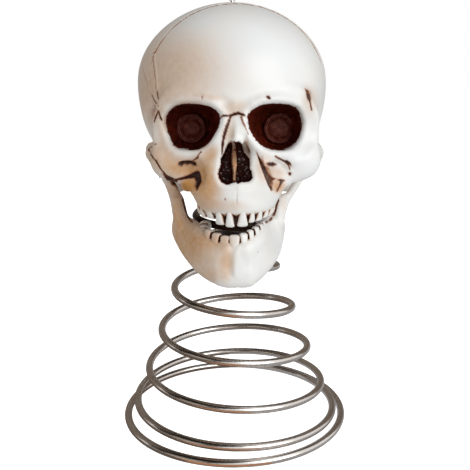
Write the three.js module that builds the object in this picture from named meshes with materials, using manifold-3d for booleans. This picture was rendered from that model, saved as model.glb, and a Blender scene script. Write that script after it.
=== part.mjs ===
// A skull with a moving jaw, carried by a cone spring that slips over the tip of a tree.
// Millimetres, +Z up. The spring stands on z = 0 and the face looks along -Y.

import * as THREE from 'three';
import { mergeVertices } from 'three/addons/utils/BufferGeometryUtils.js';
import Module from 'manifold-3d';

const wasm = await Module();
wasm.setup();

// Driving sizes of the skull
const skullWidth = 90;
const skullLength = 110.4;
const skullHeight = 120;
const chinBelowSpringTop = 21.4;
const skullSetback = 0.8;
const shellWall = 2.5;

// The jaw's hinge: a pin on each side through an eye in the jaw into a boss under the skull
const pinDiameter = 2.8;
const pinHeadDiameter = 4.6;
const pinHeadThickness = 1.5;
const pinClearance = 0.3;
const pinReach = 4.6;
const eyeDiameter = 8;
const bossDiameter = 8.4;
const bossLength = 7;
const bossFlare = 3;
const hingeSideGap = 0.4;
const ramusThickness = 3.6;

// The discs at the back of the eye sockets
const discDiameter = 11.6;
const discRimThickness = 2;
const discRimWidth = 1;
const discFloorThickness = 1;
const discDomeHeight = 2.4;
const discDomeDiameter = 7.6;

// The spring
const wireDiameter = 3.6;
const coilBaseDiameter = 111.3;
const coilTopDiameter = 28.3;
const springRise = 100.4;
const topLeanAcross = 3.5;
const topLeanForward = 1.9;
const footFlat = 0.5;
const springSetback = 1.2;

// The neck: a ball in a socket under the skull, on a block that grips the top coil
const ballDiameter = 9.6;
const ballClearance = 0.45;
const socketDiameter = 17;
const socketMouthDrop = 4;
const socketLipDrop = 2.4;
const socketMouthDiameter = 11;
const postDiameter = 6;
const hubDiameter = 11;
const hubHeight = 6;
const armWidth = 7;
const armThickness = 3.6;
const armOverhang = 1.4;
const gripGap = 0.3;
const clampSplit = 0.4;
const screwDiameter = 2.8;
const screwHeadDiameter = 6;
const screwHeadHeight = 2;
const screwReach = 5;

// The hanging loop on the crown
const loopDiameter = 3.2;
const loopWire = 1;
const loopShank = 3.4;
const loopShankDiameter = 1.6;

// Seats and cuts
const seatGap = 0.3;
const cutOverrun = 2;

// Counts
const coilTurns = 6.7;
const stepsPerTurn = 24;
const wireSides = 8;
const archSides = 6;
const toothSides = 6;
const loopSides = 6;
const roundSides = 16;
const socketSides = 16;
const socketSteps = 6;
const superellipsePoints = 20;
const domeSteps = 3;

// The skull's lumps are tabled in hundredths of its height: across, along (front is minus) and up
// from the chin. The tables follow the width and the length too, through these counts.
const acrossShare = 75;
const alongShare = 92;
const upShare = 100;

const craniumShares = {
  vaultBack: { at: [0, 6.7, 70.4], size: [37, 37.1, 29.2], soft: 0 },
  vaultFront: { at: [0, -12.9, 67.9], size: [31.2, 30, 27.9], soft: 8.3 },
  vaultBase: { at: [0, 6.7, 55.8], size: [32.7, 30.8, 22.5], soft: 10 },
};

const faceShares = {
  mastoid: { at: [22.1, 8.3, 34.6], size: [5.2, 7.1, 7.9], soft: 5 },
  temporalHollow: { at: [30.4, -17.5, 45.8], size: [6.8, 11.7, 11.2], soft: 5.8, hollow: true },
  skullFloor: { at: [0, -16.7, 43.3], size: [20, 20, 11.7], soft: 4.2 },
  maxilla: { at: [0, -28.3, 35.8], size: [15.4, 16.2, 10], soft: 3.3 },
  toothRidge: { at: [0, -28.8, 31], size: [15, 17.7, 8], soft: 2.5 },
  cheekRoot: { at: [8.8, -37.1, 37.5], size: [7.5, 7.5, 9.2], soft: 4.2 },
  zygoma: { at: [22.1, -30.8, 42.1], size: [7.2, 5.8, 6.2], soft: 3.3 },
  brow: { soft: 4.2, through: [[0, -39, 61.2, 3.2], [7.5, -39.2, 63, 2.7], [15.4, -37.8, 64.5, 2.5],
    [22.1, -34.2, 63.3, 2.7], [26, -30.4, 57.9, 2.7], [26.2, -29.2, 51.7, 2.8], [25, -30, 45.8, 3.7]] },
  zygomaCrest: { soft: 3.3, through: [[28.8, -23.3, 44.2, 2.5], [25, -28.3, 41.7, 3.7],
    [20.7, -32.1, 39.7, 3.7], [16.2, -33.8, 35.8, 3.5], [12.9, -33.3, 31.7, 2.5]] },
  lowerRim: { soft: 2.5, through: [[25, -31.2, 45, 2.5], [19.2, -35.7, 43.6, 2.4],
    [11.7, -39.2, 44.3, 2.3], [6.2, -40.8, 48.8, 2.1], [4.8, -40.4, 55.8, 2.2]] },
  nasalBone: { soft: 3.3, through: [[0, -39.2, 58.3, 3.2], [0, -42.3, 53.8, 2.8], [0, -44.7, 49.8, 2]] },
  nasalEdge: { soft: 2.5, through: [[3, -41, 55.8, 2.2], [5.4, -41.8, 49.2, 2.2], [7.5, -41.3, 42.5, 2],
    [7.2, -41.5, 36.7, 2], [4.2, -42.7, 33.8, 1.8], [0, -43.8, 34.3, 1.7]] },
  rimHollow: { at: [15.4, -42.1, 38.3], size: [4.6, 4.3, 4.6], soft: 3.3, hollow: true },
};

const jawShares = {
  lowerEdge: { soft: 0, through: [[0, -41, 4.5, 4.3], [5.4, -40.2, 4.5, 4.3], [10.3, -35.8, 6, 4],
    [14, -28.3, 7.9, 3.6], [17.3, -20, 10.4, 3.3], [19.3, -12.5, 13.8, 3.3]] },
  gum: { soft: 5, through: [[0, -41.8, 11.3, 3.1], [5.4, -40.8, 11.5, 3.1], [10, -35.5, 12, 3.2],
    [12.7, -27.9, 13.5, 3.2], [15.3, -20, 16.2, 3]] },
  chinPad: { at: [3.8, -42.9, 3.8], size: [4.6, 2.7, 3.5], soft: 2.5 },
  chinRidge: { at: [0, -43.5, 7.1], size: [1.5, 1.8, 5.8], soft: 2.1 },
};

// The hollow in the braincase stays behind the sockets and above the skull's floor
const faceBlockShares = { at: [0, -40, 51.7], size: [32, 22.5, 16], soft: 2.5 };
const cavityFloorShare = 36.7;

// The cheek arches, from the cheek's body to the temple's root, with the tube's half thickness last
const archShares = [[25, -28.3, 42.5, 3], [29, -22.5, 44.7, 2.7], [30.4, -14.2, 45.8, 2.2],
  [29.6, -4.2, 45.4, 2.3], [26, 3.6, 44.6, 2.8]];

// The eye sockets: half width, half height and centre of each ring, from the rim to the back wall
const socketRingShares = [
  { along: -50, at: [14.2, 54.3], size: [9.9, 7.8] },
  { along: -31.7, at: [14.1, 54.2], size: [9.6, 7.6] },
  { along: -27.5, at: [14.2, 54], size: [8.6, 7.2] },
  { along: -22.5, at: [14.3, 53.5], size: [7.2, 6.5] },
];
const socketSquareness = 3;
const socketDroop = 0.07;
const discPlaceShares = [15, 53.2];

// One side of the nose's opening, in front view, and how deep it goes
const noseShares = [[0.45, 49], [2, 49.8], [3.5, 48.4], [4.1, 45.6], [5.2, 44.1], [5.8, 41.8],
  [5.5, 40.8], [6.2, 38.7], [5.8, 36.5], [4, 35.3], [1.7, 35.7], [0.45, 36.7]];
const noseFrontShare = -52;
const noseBackShare = -33;

// A ramus in side view: the angle, the hind edge, the eye, the notch, the coronoid and the front edge
const ramusShares = [[-8.6, 13.4], [-6.8, 18], [-5, 25], [-3, 32], [-2.2, 36], [-4.6, 38.6], [-7.4, 38],
  [-9.6, 33.6], [-12, 31.8], [-14.6, 33.4], [-16.4, 35.2], [-18.2, 34.2], [-19, 27], [-21, 20],
  [-22.6, 15.6], [-16, 11.4], [-11.6, 11.4]];
const ramusStandShares = { across: 20.7, atUp: 15, up: 0.1, atAlong: -13, along: 0.2,
  flareFrom: 24.5, flare: 0.0096 };

// The hinge's axis, the outer face of its boss, the ball's place and the shells' parting plane
const hingeShares = [-5, 35.8];
const bossFaceShare = 24.1;
const ballShare = 29.6;
const seamShare = -16.7;
const crownShare = 1.7;

// The teeth of half an arch, from the middle: width, height and half depth
const upperToothShares = [[4.2, 6, 1.9], [3.4, 5.4, 1.8], [3.5, 5.8, 2.1], [3.3, 5.1, 2.4],
  [3.3, 4.7, 2.7], [4.3, 4.2, 3.2], [4, 3.8, 3.2]];
const lowerToothShares = [[3.8, 5.2, 1.8], [3.5, 5.2, 1.8], [3.4, 5.3, 2], [3.3, 5, 2.3],
  [3.3, 4.5, 2.6], [4.5, 4, 3.1], [4.3, 3.6, 3.1]];
const upperArchShares = { across: 13, along: 14.9, middle: -29.6, gum: 27.1, rise: 0.8, back: 4 };
const lowerArchShares = { across: 12.2, along: 14, middle: -30, gum: 13.9, rise: 2.2, back: 4 };
const toothShares = { sunk: 0.45, neck: 0.78, gap: 0.94, lean: 0.08 };

// How the spring rises and narrows from its foot to its top, as powers of the way along the wire
const footTurnsShare = 0.606;
const riseShares = [0, 3.331, -4.78, 3.878, -1.429];
const narrowShares = [0.485, 1.189, -0.674];
const footTurnShare = 0.17;

// Grids for the lumps: the face is drawn finer than the back of the head
const faceGridShares = { across: [40.5, 25], front: [-50.5, -14, 12], back: [49, 7], low: [20, 66, 15],
  high: [104, 6] };
const rearGridShares = { across: [40.5, 15], front: [-50.5, -14, 6], back: [49, 11], low: [20, 66, 9],
  high: [104, 7] };
const jawGridShares = { across: [26, 17], along: [-49, -7, 14], up: [-3, 22, 9] };
const cavityGridShares = { across: [39, 11], along: [-45, 46, 12], up: [33, 102, 10] };
const relaxRounds = 3;
const relaxShare = 0.5;
const probeShare = 0.05;
const edgeKeepShare = 0.12;
const chainSteps = 3;

// Places in the skull

const acrossStep = skullWidth / acrossShare;
const alongStep = skullLength / alongShare;
const upStep = skullHeight / upShare;
const chinLevel = springRise - chinBelowSpringTop;
const place = ([across, along, up]) => new THREE.Vector3(
  across * acrossStep, along * alongStep + skullSetback, chinLevel + up * upStep);

// Lump fields: negative inside, in hundredths of the skull's height

function ellipsoid(p, { at, size }) {
  let near = 0;
  let slope = 0;
  for (let i = 0; i < 3; i += 1) {
    const q = (p[i] - at[i]) / size[i];
    near += q * q;
    slope += (q / size[i]) ** 2;
  }
  near = Math.sqrt(near);
  return slope > 0 ? near * (near - 1) / Math.sqrt(slope) : -Math.min(...size);
}

function capsule(p, a, b) {
  const way = [b[0] - a[0], b[1] - a[1], b[2] - a[2]];
  const from = [p[0] - a[0], p[1] - a[1], p[2] - a[2]];
  const dot = from[0] * way[0] + from[1] * way[1] + from[2] * way[2];
  const t = Math.min(1, Math.max(0, dot / (way[0] ** 2 + way[1] ** 2 + way[2] ** 2)));
  const away = Math.hypot(from[0] - way[0] * t, from[1] - way[1] * t, from[2] - way[2] * t);
  return away - (a[3] + (b[3] - a[3]) * t);
}

// A chain's points, rounded through its table by a Catmull-Rom curve that carries the thickness along
function roundedChain(points) {
  const at = (i) => points[Math.min(points.length - 1, Math.max(0, i))];
  const out = [];
  for (let i = 0; i < points.length - 1; i += 1) {
    const [a, b, c, d] = [at(i - 1), at(i), at(i + 1), at(i + 2)];
    for (let j = 0; j < chainSteps; j += 1) {
      const t = j / chainSteps;
      out.push(b.map((_, k) => b[k] + (c[k] - a[k]) / 2 * t
        + (a[k] - 2.5 * b[k] + 2 * c[k] - d[k] / 2) * t ** 2
        + (1.5 * (b[k] - c[k]) + (d[k] - a[k]) / 2) * t ** 3));
    }
  }
  return [...out, points.at(-1)];
}

function softUnion(a, b, soft) {
  const lap = soft > 0 ? Math.max(soft - Math.abs(a - b), 0) / soft : 0;
  return Math.min(a, b) - lap * lap * soft / 4;
}

function lumpField(table) {
  const lumps = Object.values(table).map((lump) => (
    lump.through ? { ...lump, through: roundedChain(lump.through) } : lump));
  return (p, start = Infinity) => {
    let value = start;
    for (const lump of lumps) {
      let d = Infinity;
      if (lump.through) {
        for (let i = 1; i < lump.through.length; i += 1) {
          d = Math.min(d, capsule(p, lump.through[i - 1], lump.through[i]));
        }
      } else {
        d = ellipsoid(p, lump);
      }
      if (lump.hollow) value = -softUnion(-value, d, lump.soft);
      else value = value === Infinity ? d : softUnion(value, d, lump.soft);
    }
    return value;
  };
}

const mirrored = (field) => (p) => field([Math.abs(p[0]), p[1], p[2]]);

const cranium = lumpField(craniumShares);
const face = lumpField(faceShares);
const headField = mirrored((p) => face(p, cranium(p)));
const jawField = mirrored(lumpField(jawShares));
const cavityField = mirrored((p) => {
  const inner = cranium(p) + shellWall / upStep;
  const walled = -softUnion(-inner, ellipsoid(p, faceBlockShares), faceBlockShares.soft);
  return Math.max(walled, cavityFloorShare - p[2]);
});

// A field's surface as a closed mesh. Each cell's crossings are joined around its faces into loops,
// always cutting single inside corners off, so that neighbouring cells agree.

const cellFaces = [[0, 4, 6, 2], [1, 3, 7, 5], [0, 1, 5, 4], [2, 6, 7, 3], [0, 2, 3, 1], [4, 5, 7, 6]];
const before = (corner) => (corner + cellFaces[0].length - 1) % cellFaces[0].length;

function surface(field, grid) {
  const [xs, ys, zs] = grid;
  const nodeIndex = (i, j, k) => (k * ys.length + j) * xs.length + i;
  const values = new Float64Array(xs.length * ys.length * zs.length);
  zs.forEach((z, k) => ys.forEach((y, j) => xs.forEach((x, i) => {
    values[nodeIndex(i, j, k)] = field([x, y, z]);
  })));
  const points = [];
  const triangles = [];
  const crossings = new Map();
  const nodeAt = (i, j, k, corner) => [i + (corner & 1), j + ((corner >> 1) & 1), k + (corner >> 2)];
  function crossing(i, j, k, from, to) {
    const [low, high] = [Math.min(from, to), Math.max(from, to)];
    const a = nodeAt(i, j, k, low);
    const b = nodeAt(i, j, k, high);
    const key = nodeIndex(...a) * 3 + Math.log2(high - low);
    if (!crossings.has(key)) {
      const [va, vb] = [values[nodeIndex(...a)], values[nodeIndex(...b)]];
      const t = Math.min(1 - edgeKeepShare, Math.max(edgeKeepShare, va / (va - vb)));
      crossings.set(key, points.length);
      points.push(grid.map((line, axis) => line[a[axis]] + (line[b[axis]] - line[a[axis]]) * t));
    }
    return crossings.get(key);
  }
  for (let k = 0; k < zs.length - 1; k += 1) {
    for (let j = 0; j < ys.length - 1; j += 1) {
      for (let i = 0; i < xs.length - 1; i += 1) {
        const inside = [];
        for (let corner = 0; corner < 8; corner += 1) {
          inside.push(values[nodeIndex(...nodeAt(i, j, k, corner))] < 0);
        }
        if (inside.every(Boolean) || !inside.some(Boolean)) continue;
        const next = new Map();
        let crossed = false;
        for (const corners of cellFaces) {
          let leaving = 0;
          for (let e = 0; e < 4; e += 1) {
            if (!inside[corners[e]] || inside[corners[(e + 1) % 4]]) continue;
            leaving += 1;
            let first = e;
            while (inside[corners[before(first)]]) first = before(first);
            next.set(crossing(i, j, k, corners[e], corners[(e + 1) % 4]),
              crossing(i, j, k, corners[before(first)], corners[first]));
          }
          crossed ||= leaving > 1;
        }
        while (next.size > 0) {
          const loop = [next.keys().next().value];
          while (next.has(loop.at(-1))) {
            const step = next.get(loop.at(-1));
            next.delete(loop.at(-1));
            if (step !== loop[0]) loop.push(step);
          }
          if (loop.length > 3 && crossed) {
            const middle = points.length;
            points.push([0, 1, 2].map((axis) => loop.reduce((s, v) => s + points[v][axis], 0) / loop.length));
            loop.forEach((v, n) => triangles.push([middle, v, loop[(n + 1) % loop.length]]));
          } else {
            for (let n = 1; n < loop.length - 1; n += 1) triangles.push([loop[0], loop[n], loop[n + 1]]);
          }
        }
      }
    }
  }
  relax(points, triangles, field);
  return { points, triangles };
}

// Evens the triangles out and draws the points back onto the field
function relax(points, triangles, field) {
  const neighbours = points.map(() => new Set());
  for (const [a, b, c] of triangles) {
    neighbours[a].add(b).add(c);
    neighbours[b].add(a).add(c);
    neighbours[c].add(a).add(b);
  }
  for (let round = 0; round < relaxRounds; round += 1) {
    const means = neighbours.map((set) => [0, 1, 2].map((axis) => {
      let sum = 0;
      for (const n of set) sum += points[n][axis];
      return sum / set.size;
    }));
    points.forEach((p, v) => {
      for (let axis = 0; axis < 3; axis += 1) p[axis] += (means[v][axis] - p[axis]) * relaxShare;
      const value = field(p);
      const slope = [0, 1, 2].map((axis) => {
        const q = [...p];
        q[axis] += probeShare;
        return (field(q) - value) / probeShare;
      });
      const steep = slope[0] ** 2 + slope[1] ** 2 + slope[2] ** 2;
      const pull = Math.max(-1, Math.min(1, value / Math.max(steep, probeShare)));
      for (let axis = 0; axis < 3; axis += 1) p[axis] -= slope[axis] * pull;
    });
  }
}

const line = (from, to, count) => (
  Array.from({ length: count }, (_, i) => from + (to - from) * i / (count - 1)));

// Solids: three.js geometry in, closed solids out

function enclosed(positions, triVerts) {
  let sum = 0;
  const at = (v) => new THREE.Vector3().fromArray(positions, v * 3);
  for (let t = 0; t < triVerts.length; t += 3) {
    sum += at(triVerts[t]).dot(at(triVerts[t + 1]).cross(at(triVerts[t + 2])));
  }
  return sum;
}

// A mirrored shape comes in inside out, so its triangles are turned over
function fromArrays(positions, triangles) {
  const triVerts = enclosed(positions, triangles) > 0 ? [...triangles] : [...triangles].reverse();
  const mesh = new wasm.Mesh({
    numProp: 3, vertProperties: Float32Array.from(positions), triVerts: Uint32Array.from(triVerts),
  });
  mesh.merge();
  return new wasm.Manifold(mesh);
}

function solidOf(geometry) {
  const bare = geometry.clone();
  bare.deleteAttribute('normal');
  bare.deleteAttribute('uv');
  const merged = mergeVertices(bare);
  return fromArrays(merged.attributes.position.array, merged.index.array);
}

function geometryOf(solid) {
  const { vertProperties, triVerts } = solid.getMesh();
  const geometry = new THREE.BufferGeometry();
  geometry.setAttribute('position', new THREE.BufferAttribute(vertProperties, 3));
  geometry.setIndex(new THREE.BufferAttribute(triVerts, 1));
  const flat = geometry.toNonIndexed();
  flat.computeVertexNormals();
  return flat;
}

const joined = (solids) => solids.reduce((a, b) => a.add(b));
const cutBy = (solid, tools) => tools.reduce((a, b) => a.subtract(b), solid);

function lumpSolid(field, grid) {
  const { points, triangles } = surface(field, grid);
  return fromArrays(points.flatMap((p) => place(p).toArray()), triangles.flat());
}

// Rings of equal count joined in order, with both ends closed flat
function ringSolid(rings) {
  const count = rings[0].length;
  const positions = rings.flat().flatMap((v) => v.toArray());
  const triangles = [];
  for (let r = 0; r < rings.length - 1; r += 1) {
    for (let i = 0; i < count; i += 1) {
      const [a, b] = [r * count + i, r * count + (i + 1) % count];
      triangles.push(a, b, a + count, b, b + count, a + count);
    }
  }
  const last = (rings.length - 1) * count;
  for (let i = 1; i < count - 1; i += 1) {
    triangles.push(0, i + 1, i, last, last + i, last + i + 1);
  }
  return fromArrays(positions, triangles);
}

const moved = (geometry, x, y, z) => geometry.translate(x, y, z);
const alongAxisX = (geometry) => geometry.rotateZ(-Math.PI / 2);
const alongAxisZ = (geometry) => geometry.rotateX(Math.PI / 2);
const rod = (diameter, length, sides = roundSides) => (
  new THREE.CylinderGeometry(diameter / 2, diameter / 2, length, sides));

// The skull's pieces

const headGrid = ({ across, front, back, low, high }) => [
  line(-across[0], across[0], across[1]),
  [...line(...front), ...line(front[1], ...back).slice(1)],
  [...line(...low), ...line(low[1], ...high).slice(1)],
];
const jawGrid = [
  line(-jawGridShares.across[0], jawGridShares.across[0], jawGridShares.across[1]),
  line(...jawGridShares.along), line(...jawGridShares.up),
];
const cavityGrid = [
  line(-cavityGridShares.across[0], cavityGridShares.across[0], cavityGridShares.across[1]),
  line(...cavityGridShares.along), line(...cavityGridShares.up),
];

function socketRings(side) {
  return socketRingShares.map(({ along, at, size }) => (
    Array.from({ length: superellipsePoints }, (_, i) => {
      const angle = 2 * Math.PI * i / superellipsePoints;
      const reach = (Math.abs(Math.cos(angle)) ** socketSquareness
        + Math.abs(Math.sin(angle)) ** socketSquareness) ** (-1 / socketSquareness);
      const x = size[0] * reach * Math.cos(angle);
      const z = size[1] * reach * Math.sin(angle);
      const turned = [x * Math.cos(socketDroop) + z * Math.sin(socketDroop),
        z * Math.cos(socketDroop) - x * Math.sin(socketDroop)];
      return place([side * (at[0] + turned[0]), along, at[1] + turned[1]]);
    })));
}

function noseCut(side) {
  const ring = (along) => noseShares.map(([x, z]) => place([side * x, along, z]));
  return ringSolid([ring(noseFrontShare), ring(noseBackShare)]);
}

// A six-sided tube around each chain point, square to the way through it
function archTube(side) {
  const chain = roundedChain(archShares).map(([across, along, up, half]) => (
    { at: place([side * across, along, up]), r: half * upStep }));
  return ringSolid(chain.map(({ at, r }, i) => {
    const way = new THREE.Vector3().subVectors(
      chain[Math.min(i + 1, chain.length - 1)].at, chain[Math.max(i - 1, 0)].at).normalize();
    const level = new THREE.Vector3(-way.y, way.x, 0).normalize();
    const upright = new THREE.Vector3().crossVectors(way, level);
    return Array.from({ length: archSides }, (_, n) => {
      const angle = 2 * Math.PI * n / archSides;
      return at.clone().addScaledVector(level, r * Math.cos(angle))
        .addScaledVector(upright, r * Math.sin(angle));
    });
  }));
}

// The teeth stand along half an ellipse, each a tapered six-sided block sunk into the gum
function teeth(table, arch, up) {
  const solids = [];
  const wayTo = (t) => Math.hypot(arch.across * Math.cos(t), arch.along * Math.sin(t));
  let turn = 0;
  table.forEach(([width, height, depth], i) => {
    const half = width / 2 / wayTo(turn);
    const angle = turn + half;
    turn = angle + width / 2 / wayTo(angle);
    const facing = Math.atan2(arch.along * Math.sin(angle), arch.across * Math.cos(angle));
    const back = i / (table.length - 1);
    const gum = arch.gum + (arch.rise * back);
    for (const side of [-1, 1]) {
      const tooth = new THREE.CylinderGeometry(
        width / 2 * toothShares.gap, width / 2 * toothShares.neck,
        height * (1 + toothShares.sunk), toothSides);
      tooth.scale(acrossStep, upStep, depth * 2 / width * alongStep);
      tooth.rotateX(Math.PI / 2);
      if (up < 0) tooth.rotateX(Math.PI);
      tooth.rotateX(toothShares.lean * up);
      tooth.rotateZ(side * facing);
      const middle = place([side * arch.across * Math.sin(angle), arch.middle - arch.along * Math.cos(angle),
        gum + up * height * (1 - toothShares.sunk) / 2]);
      solids.push(solidOf(tooth.translate(...middle.toArray())));
    }
  });
  return solids;
}

const hinge = place([0, ...hingeShares]);
const bossFace = bossFaceShare * acrossStep;
const eyeInner = bossFace + hingeSideGap;
const eyeOuter = eyeInner + ramusThickness;
const boreDiameter = pinDiameter + 2 * pinClearance;

// A rod along X between two distances from the middle plane
function sideRod(side, diameter, from, to, sides = roundSides) {
  const middle = side * (from + to) / 2;
  return solidOf(moved(alongAxisX(rod(diameter, to - from, sides)), middle, hinge.y, hinge.z));
}

function boss(side) {
  const arm = new THREE.CylinderGeometry(
    bossDiameter / 2, bossDiameter / 2 + bossFlare, bossLength, roundSides);
  arm.rotateZ(-side * Math.PI / 2);
  return solidOf(moved(arm, side * (bossFace - bossLength / 2), hinge.y, hinge.z + bossFlare / 2))
    .intersect(sideRod(side, bossDiameter + 2 * bossFlare, bossFace - bossLength, bossFace));
}

const ball = place([0, 0, ballShare]);
const socketRadius = ballDiameter / 2 + ballClearance;

// The socket's hollow: a ball above a mouth that flares for the post's swing
function socketCut() {
  const lipRadius = Math.sqrt(socketRadius ** 2 - socketLipDrop ** 2);
  const profile = [new THREE.Vector2(0, -socketMouthDrop - cutOverrun),
    new THREE.Vector2(socketMouthDiameter / 2, -socketMouthDrop - cutOverrun),
    new THREE.Vector2(socketMouthDiameter / 2, -socketMouthDrop),
    new THREE.Vector2(lipRadius, -socketLipDrop)];
  const start = -Math.asin(socketLipDrop / socketRadius);
  for (let i = 1; i < socketSteps; i += 1) {
    const angle = start + (Math.PI / 2 - start) * i / socketSteps;
    profile.push(new THREE.Vector2(socketRadius * Math.cos(angle), socketRadius * Math.sin(angle)));
  }
  profile.push(new THREE.Vector2(0, socketRadius));
  return solidOf(moved(alongAxisZ(new THREE.LatheGeometry(profile, socketSides)), ...ball.toArray()));
}

function socketBoss() {
  const top = place([0, 0, cavityFloorShare]).z;
  const bottom = ball.z - socketMouthDrop;
  return solidOf(moved(alongAxisZ(rod(socketDiameter, top - bottom, socketSides)),
    ball.x, ball.y, (top + bottom) / 2));
}

function headSolid(gridShares) {
  const outside = joined([lumpSolid(headField, headGrid(gridShares)), socketBoss(),
    ...[-1, 1].flatMap((side) => [archTube(side), boss(side)]),
    ...teeth(upperToothShares, upperArchShares, -1)]);
  const pinBore = (side) => (
    sideRod(side, boreDiameter, bossFace - pinReach - pinClearance, bossFace + cutOverrun));
  return cutBy(outside, [lumpSolid(cavityField, cavityGrid), socketCut(),
    ...[-1, 1].flatMap((side) => [ringSolid(socketRings(side)), noseCut(side), pinBore(side)]),
    loopShankRod(loopShankDiameter + 2 * seatGap, cutOverrun)]);
}

// Half of space in front of or behind the parting plane
function seamSide(direction) {
  const reach = skullLength + skullHeight;
  const block = new THREE.BoxGeometry(reach, reach, reach + chinLevel);
  const plane = place([0, seamShare, upShare / 2]);
  return solidOf(moved(block, 0, plane.y + direction * reach / 2, plane.z));
}

// The ramus plates are drawn in side view, then leaned to follow the face
function ramus(side) {
  const shape = new THREE.Shape(
    ramusShares.map(([along, up]) => new THREE.Vector2(along * alongStep, up * upStep)));
  const geometry = new THREE.ExtrudeGeometry(shape, { depth: ramusThickness, bevelEnabled: false });
  geometry.rotateX(Math.PI / 2).rotateZ(Math.PI / 2);
  const spots = geometry.attributes.position;
  const stand = ramusStandShares;
  for (let i = 0; i < spots.count; i += 1) {
    const along = spots.getY(i) / alongStep;
    const up = spots.getZ(i) / upStep;
    const flare = stand.flare * upShare / acrossShare * Math.max(0, up - stand.flareFrom) ** 2;
    const across = stand.across + flare + stand.up * (up - stand.atUp)
      + stand.along * (along - stand.atAlong);
    spots.setXYZ(i, side * (spots.getX(i) - ramusThickness / 2 + across * acrossStep),
      spots.getY(i) + skullSetback, spots.getZ(i) + chinLevel);
  }
  return solidOf(geometry);
}

function jawSolid() {
  const body = joined([lumpSolid(jawField, jawGrid), ramus(1), ramus(-1),
    sideRod(1, eyeDiameter, eyeInner, eyeOuter), sideRod(-1, eyeDiameter, eyeInner, eyeOuter),
    ...teeth(lowerToothShares, lowerArchShares, 1)]);
  return cutBy(body, [-1, 1].flatMap((side) => [
    sideRod(side, boreDiameter, eyeInner - cutOverrun, eyeOuter + cutOverrun),
    sideRod(side, eyeDiameter, eyeOuter, eyeOuter + cutOverrun),
    sideRod(side, eyeDiameter + 2 * hingeSideGap, eyeInner - cutOverrun, eyeInner),
  ]));
}

function jawPin(side) {
  const headFrom = eyeOuter + seatGap;
  return sideRod(side, pinDiameter, bossFace - pinReach, headFrom)
    .add(sideRod(side, pinHeadDiameter, headFrom, headFrom + pinHeadThickness));
}

function eyeDisc(side) {
  const rim = discDiameter / 2;
  const dome = discDomeDiameter / 2;
  const profile = [[0, 0], [rim, 0], [rim, discRimThickness], [rim - discRimWidth, discRimThickness],
    [rim - discRimWidth, discFloorThickness], [dome, discFloorThickness]]
    .map(([r, h]) => new THREE.Vector2(r, h));
  for (let i = 1; i < domeSteps; i += 1) {
    const angle = Math.PI / 2 * i / domeSteps;
    profile.push(new THREE.Vector2(
      dome * Math.cos(angle), discFloorThickness + discDomeHeight * Math.sin(angle)));
  }
  profile.push(new THREE.Vector2(0, discFloorThickness + discDomeHeight));
  const [across, up] = discPlaceShares;
  const seat = place([side * across, socketRingShares.at(-1).along, up]);
  const disc = new THREE.LatheGeometry(profile, roundSides).rotateX(Math.PI);
  return solidOf(moved(disc, seat.x, seat.y - seatGap, seat.z));
}

// The spring: a wire that lies flat for its first turn, then climbs and narrows

const power = (shares, t) => shares.reduce((sum, share, i) => sum + share * t ** (i + 1), 0);
const wireRadius = wireDiameter / 2;

function wirePoint(t) {
  const climb = Math.max(0, (t * coilTurns - footTurnsShare) / (coilTurns - footTurnsShare));
  const radius = (coilBaseDiameter + (coilTopDiameter - coilBaseDiameter) * power(narrowShares, t)) / 2;
  const angle = 2 * Math.PI * (footTurnShare - t * coilTurns);
  return new THREE.Vector3(
    radius * Math.cos(angle) - topLeanAcross * climb ** 2,
    radius * Math.sin(angle) - topLeanForward * climb + springSetback,
    wireRadius - footFlat + springRise * power(riseShares, climb));
}

// Sections along the wire, each end carried straight on by one wire diameter
function wireSections(sectionRadius) {
  const steps = Math.round(coilTurns * stepsPerTurn);
  const centres = Array.from({ length: steps + 1 }, (_, i) => wirePoint(i / steps));
  const ways = centres.map((_, i) => new THREE.Vector3().subVectors(
    centres[Math.min(i + 1, steps)], centres[Math.max(i - 1, 0)]).normalize());
  const ends = [[0, -1], [steps, 1]].map(([i, sense]) => (
    { at: centres[i].clone().addScaledVector(ways[i], sense * wireDiameter), way: ways[i] }));
  const stations = [ends[0], ...centres.map((at, i) => ({ at, way: ways[i] })), ends[1]];
  return stations.map(({ at, way }) => {
    const outward = new THREE.Vector3(way.y, -way.x, 0).normalize();
    const upward = new THREE.Vector3().crossVectors(outward, way).normalize();
    if (upward.z < 0) upward.negate();
    return Array.from({ length: wireSides }, (_, n) => {
      const angle = 2 * Math.PI * (n + 0.5) / wireSides;
      return at.clone().addScaledVector(outward, sectionRadius * Math.cos(angle))
        .addScaledVector(upward, sectionRadius * Math.sin(angle));
    });
  });
}

function leastGap(sections) {
  let least = Infinity;
  const farEnough = stepsPerTurn / 2;
  for (let i = 0; i < sections.length; i += 1) {
    for (let j = i + farEnough; j < Math.min(sections.length, i + stepsPerTurn * 2); j += 1) {
      for (const a of sections[i]) for (const b of sections[j]) least = Math.min(least, a.distanceTo(b));
    }
  }
  return least;
}

function springSolid() {
  const sections = wireSections(wireRadius);
  for (const section of sections) for (const spot of section) spot.z = Math.max(0, spot.z);
  console.log(`least gap between the spring's turns: ${leastGap(sections).toFixed(2)} mm`);
  return ringSolid(sections);
}

// The neck grips the top coil at its hind and right sides, in a plane tilted with the coil

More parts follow.
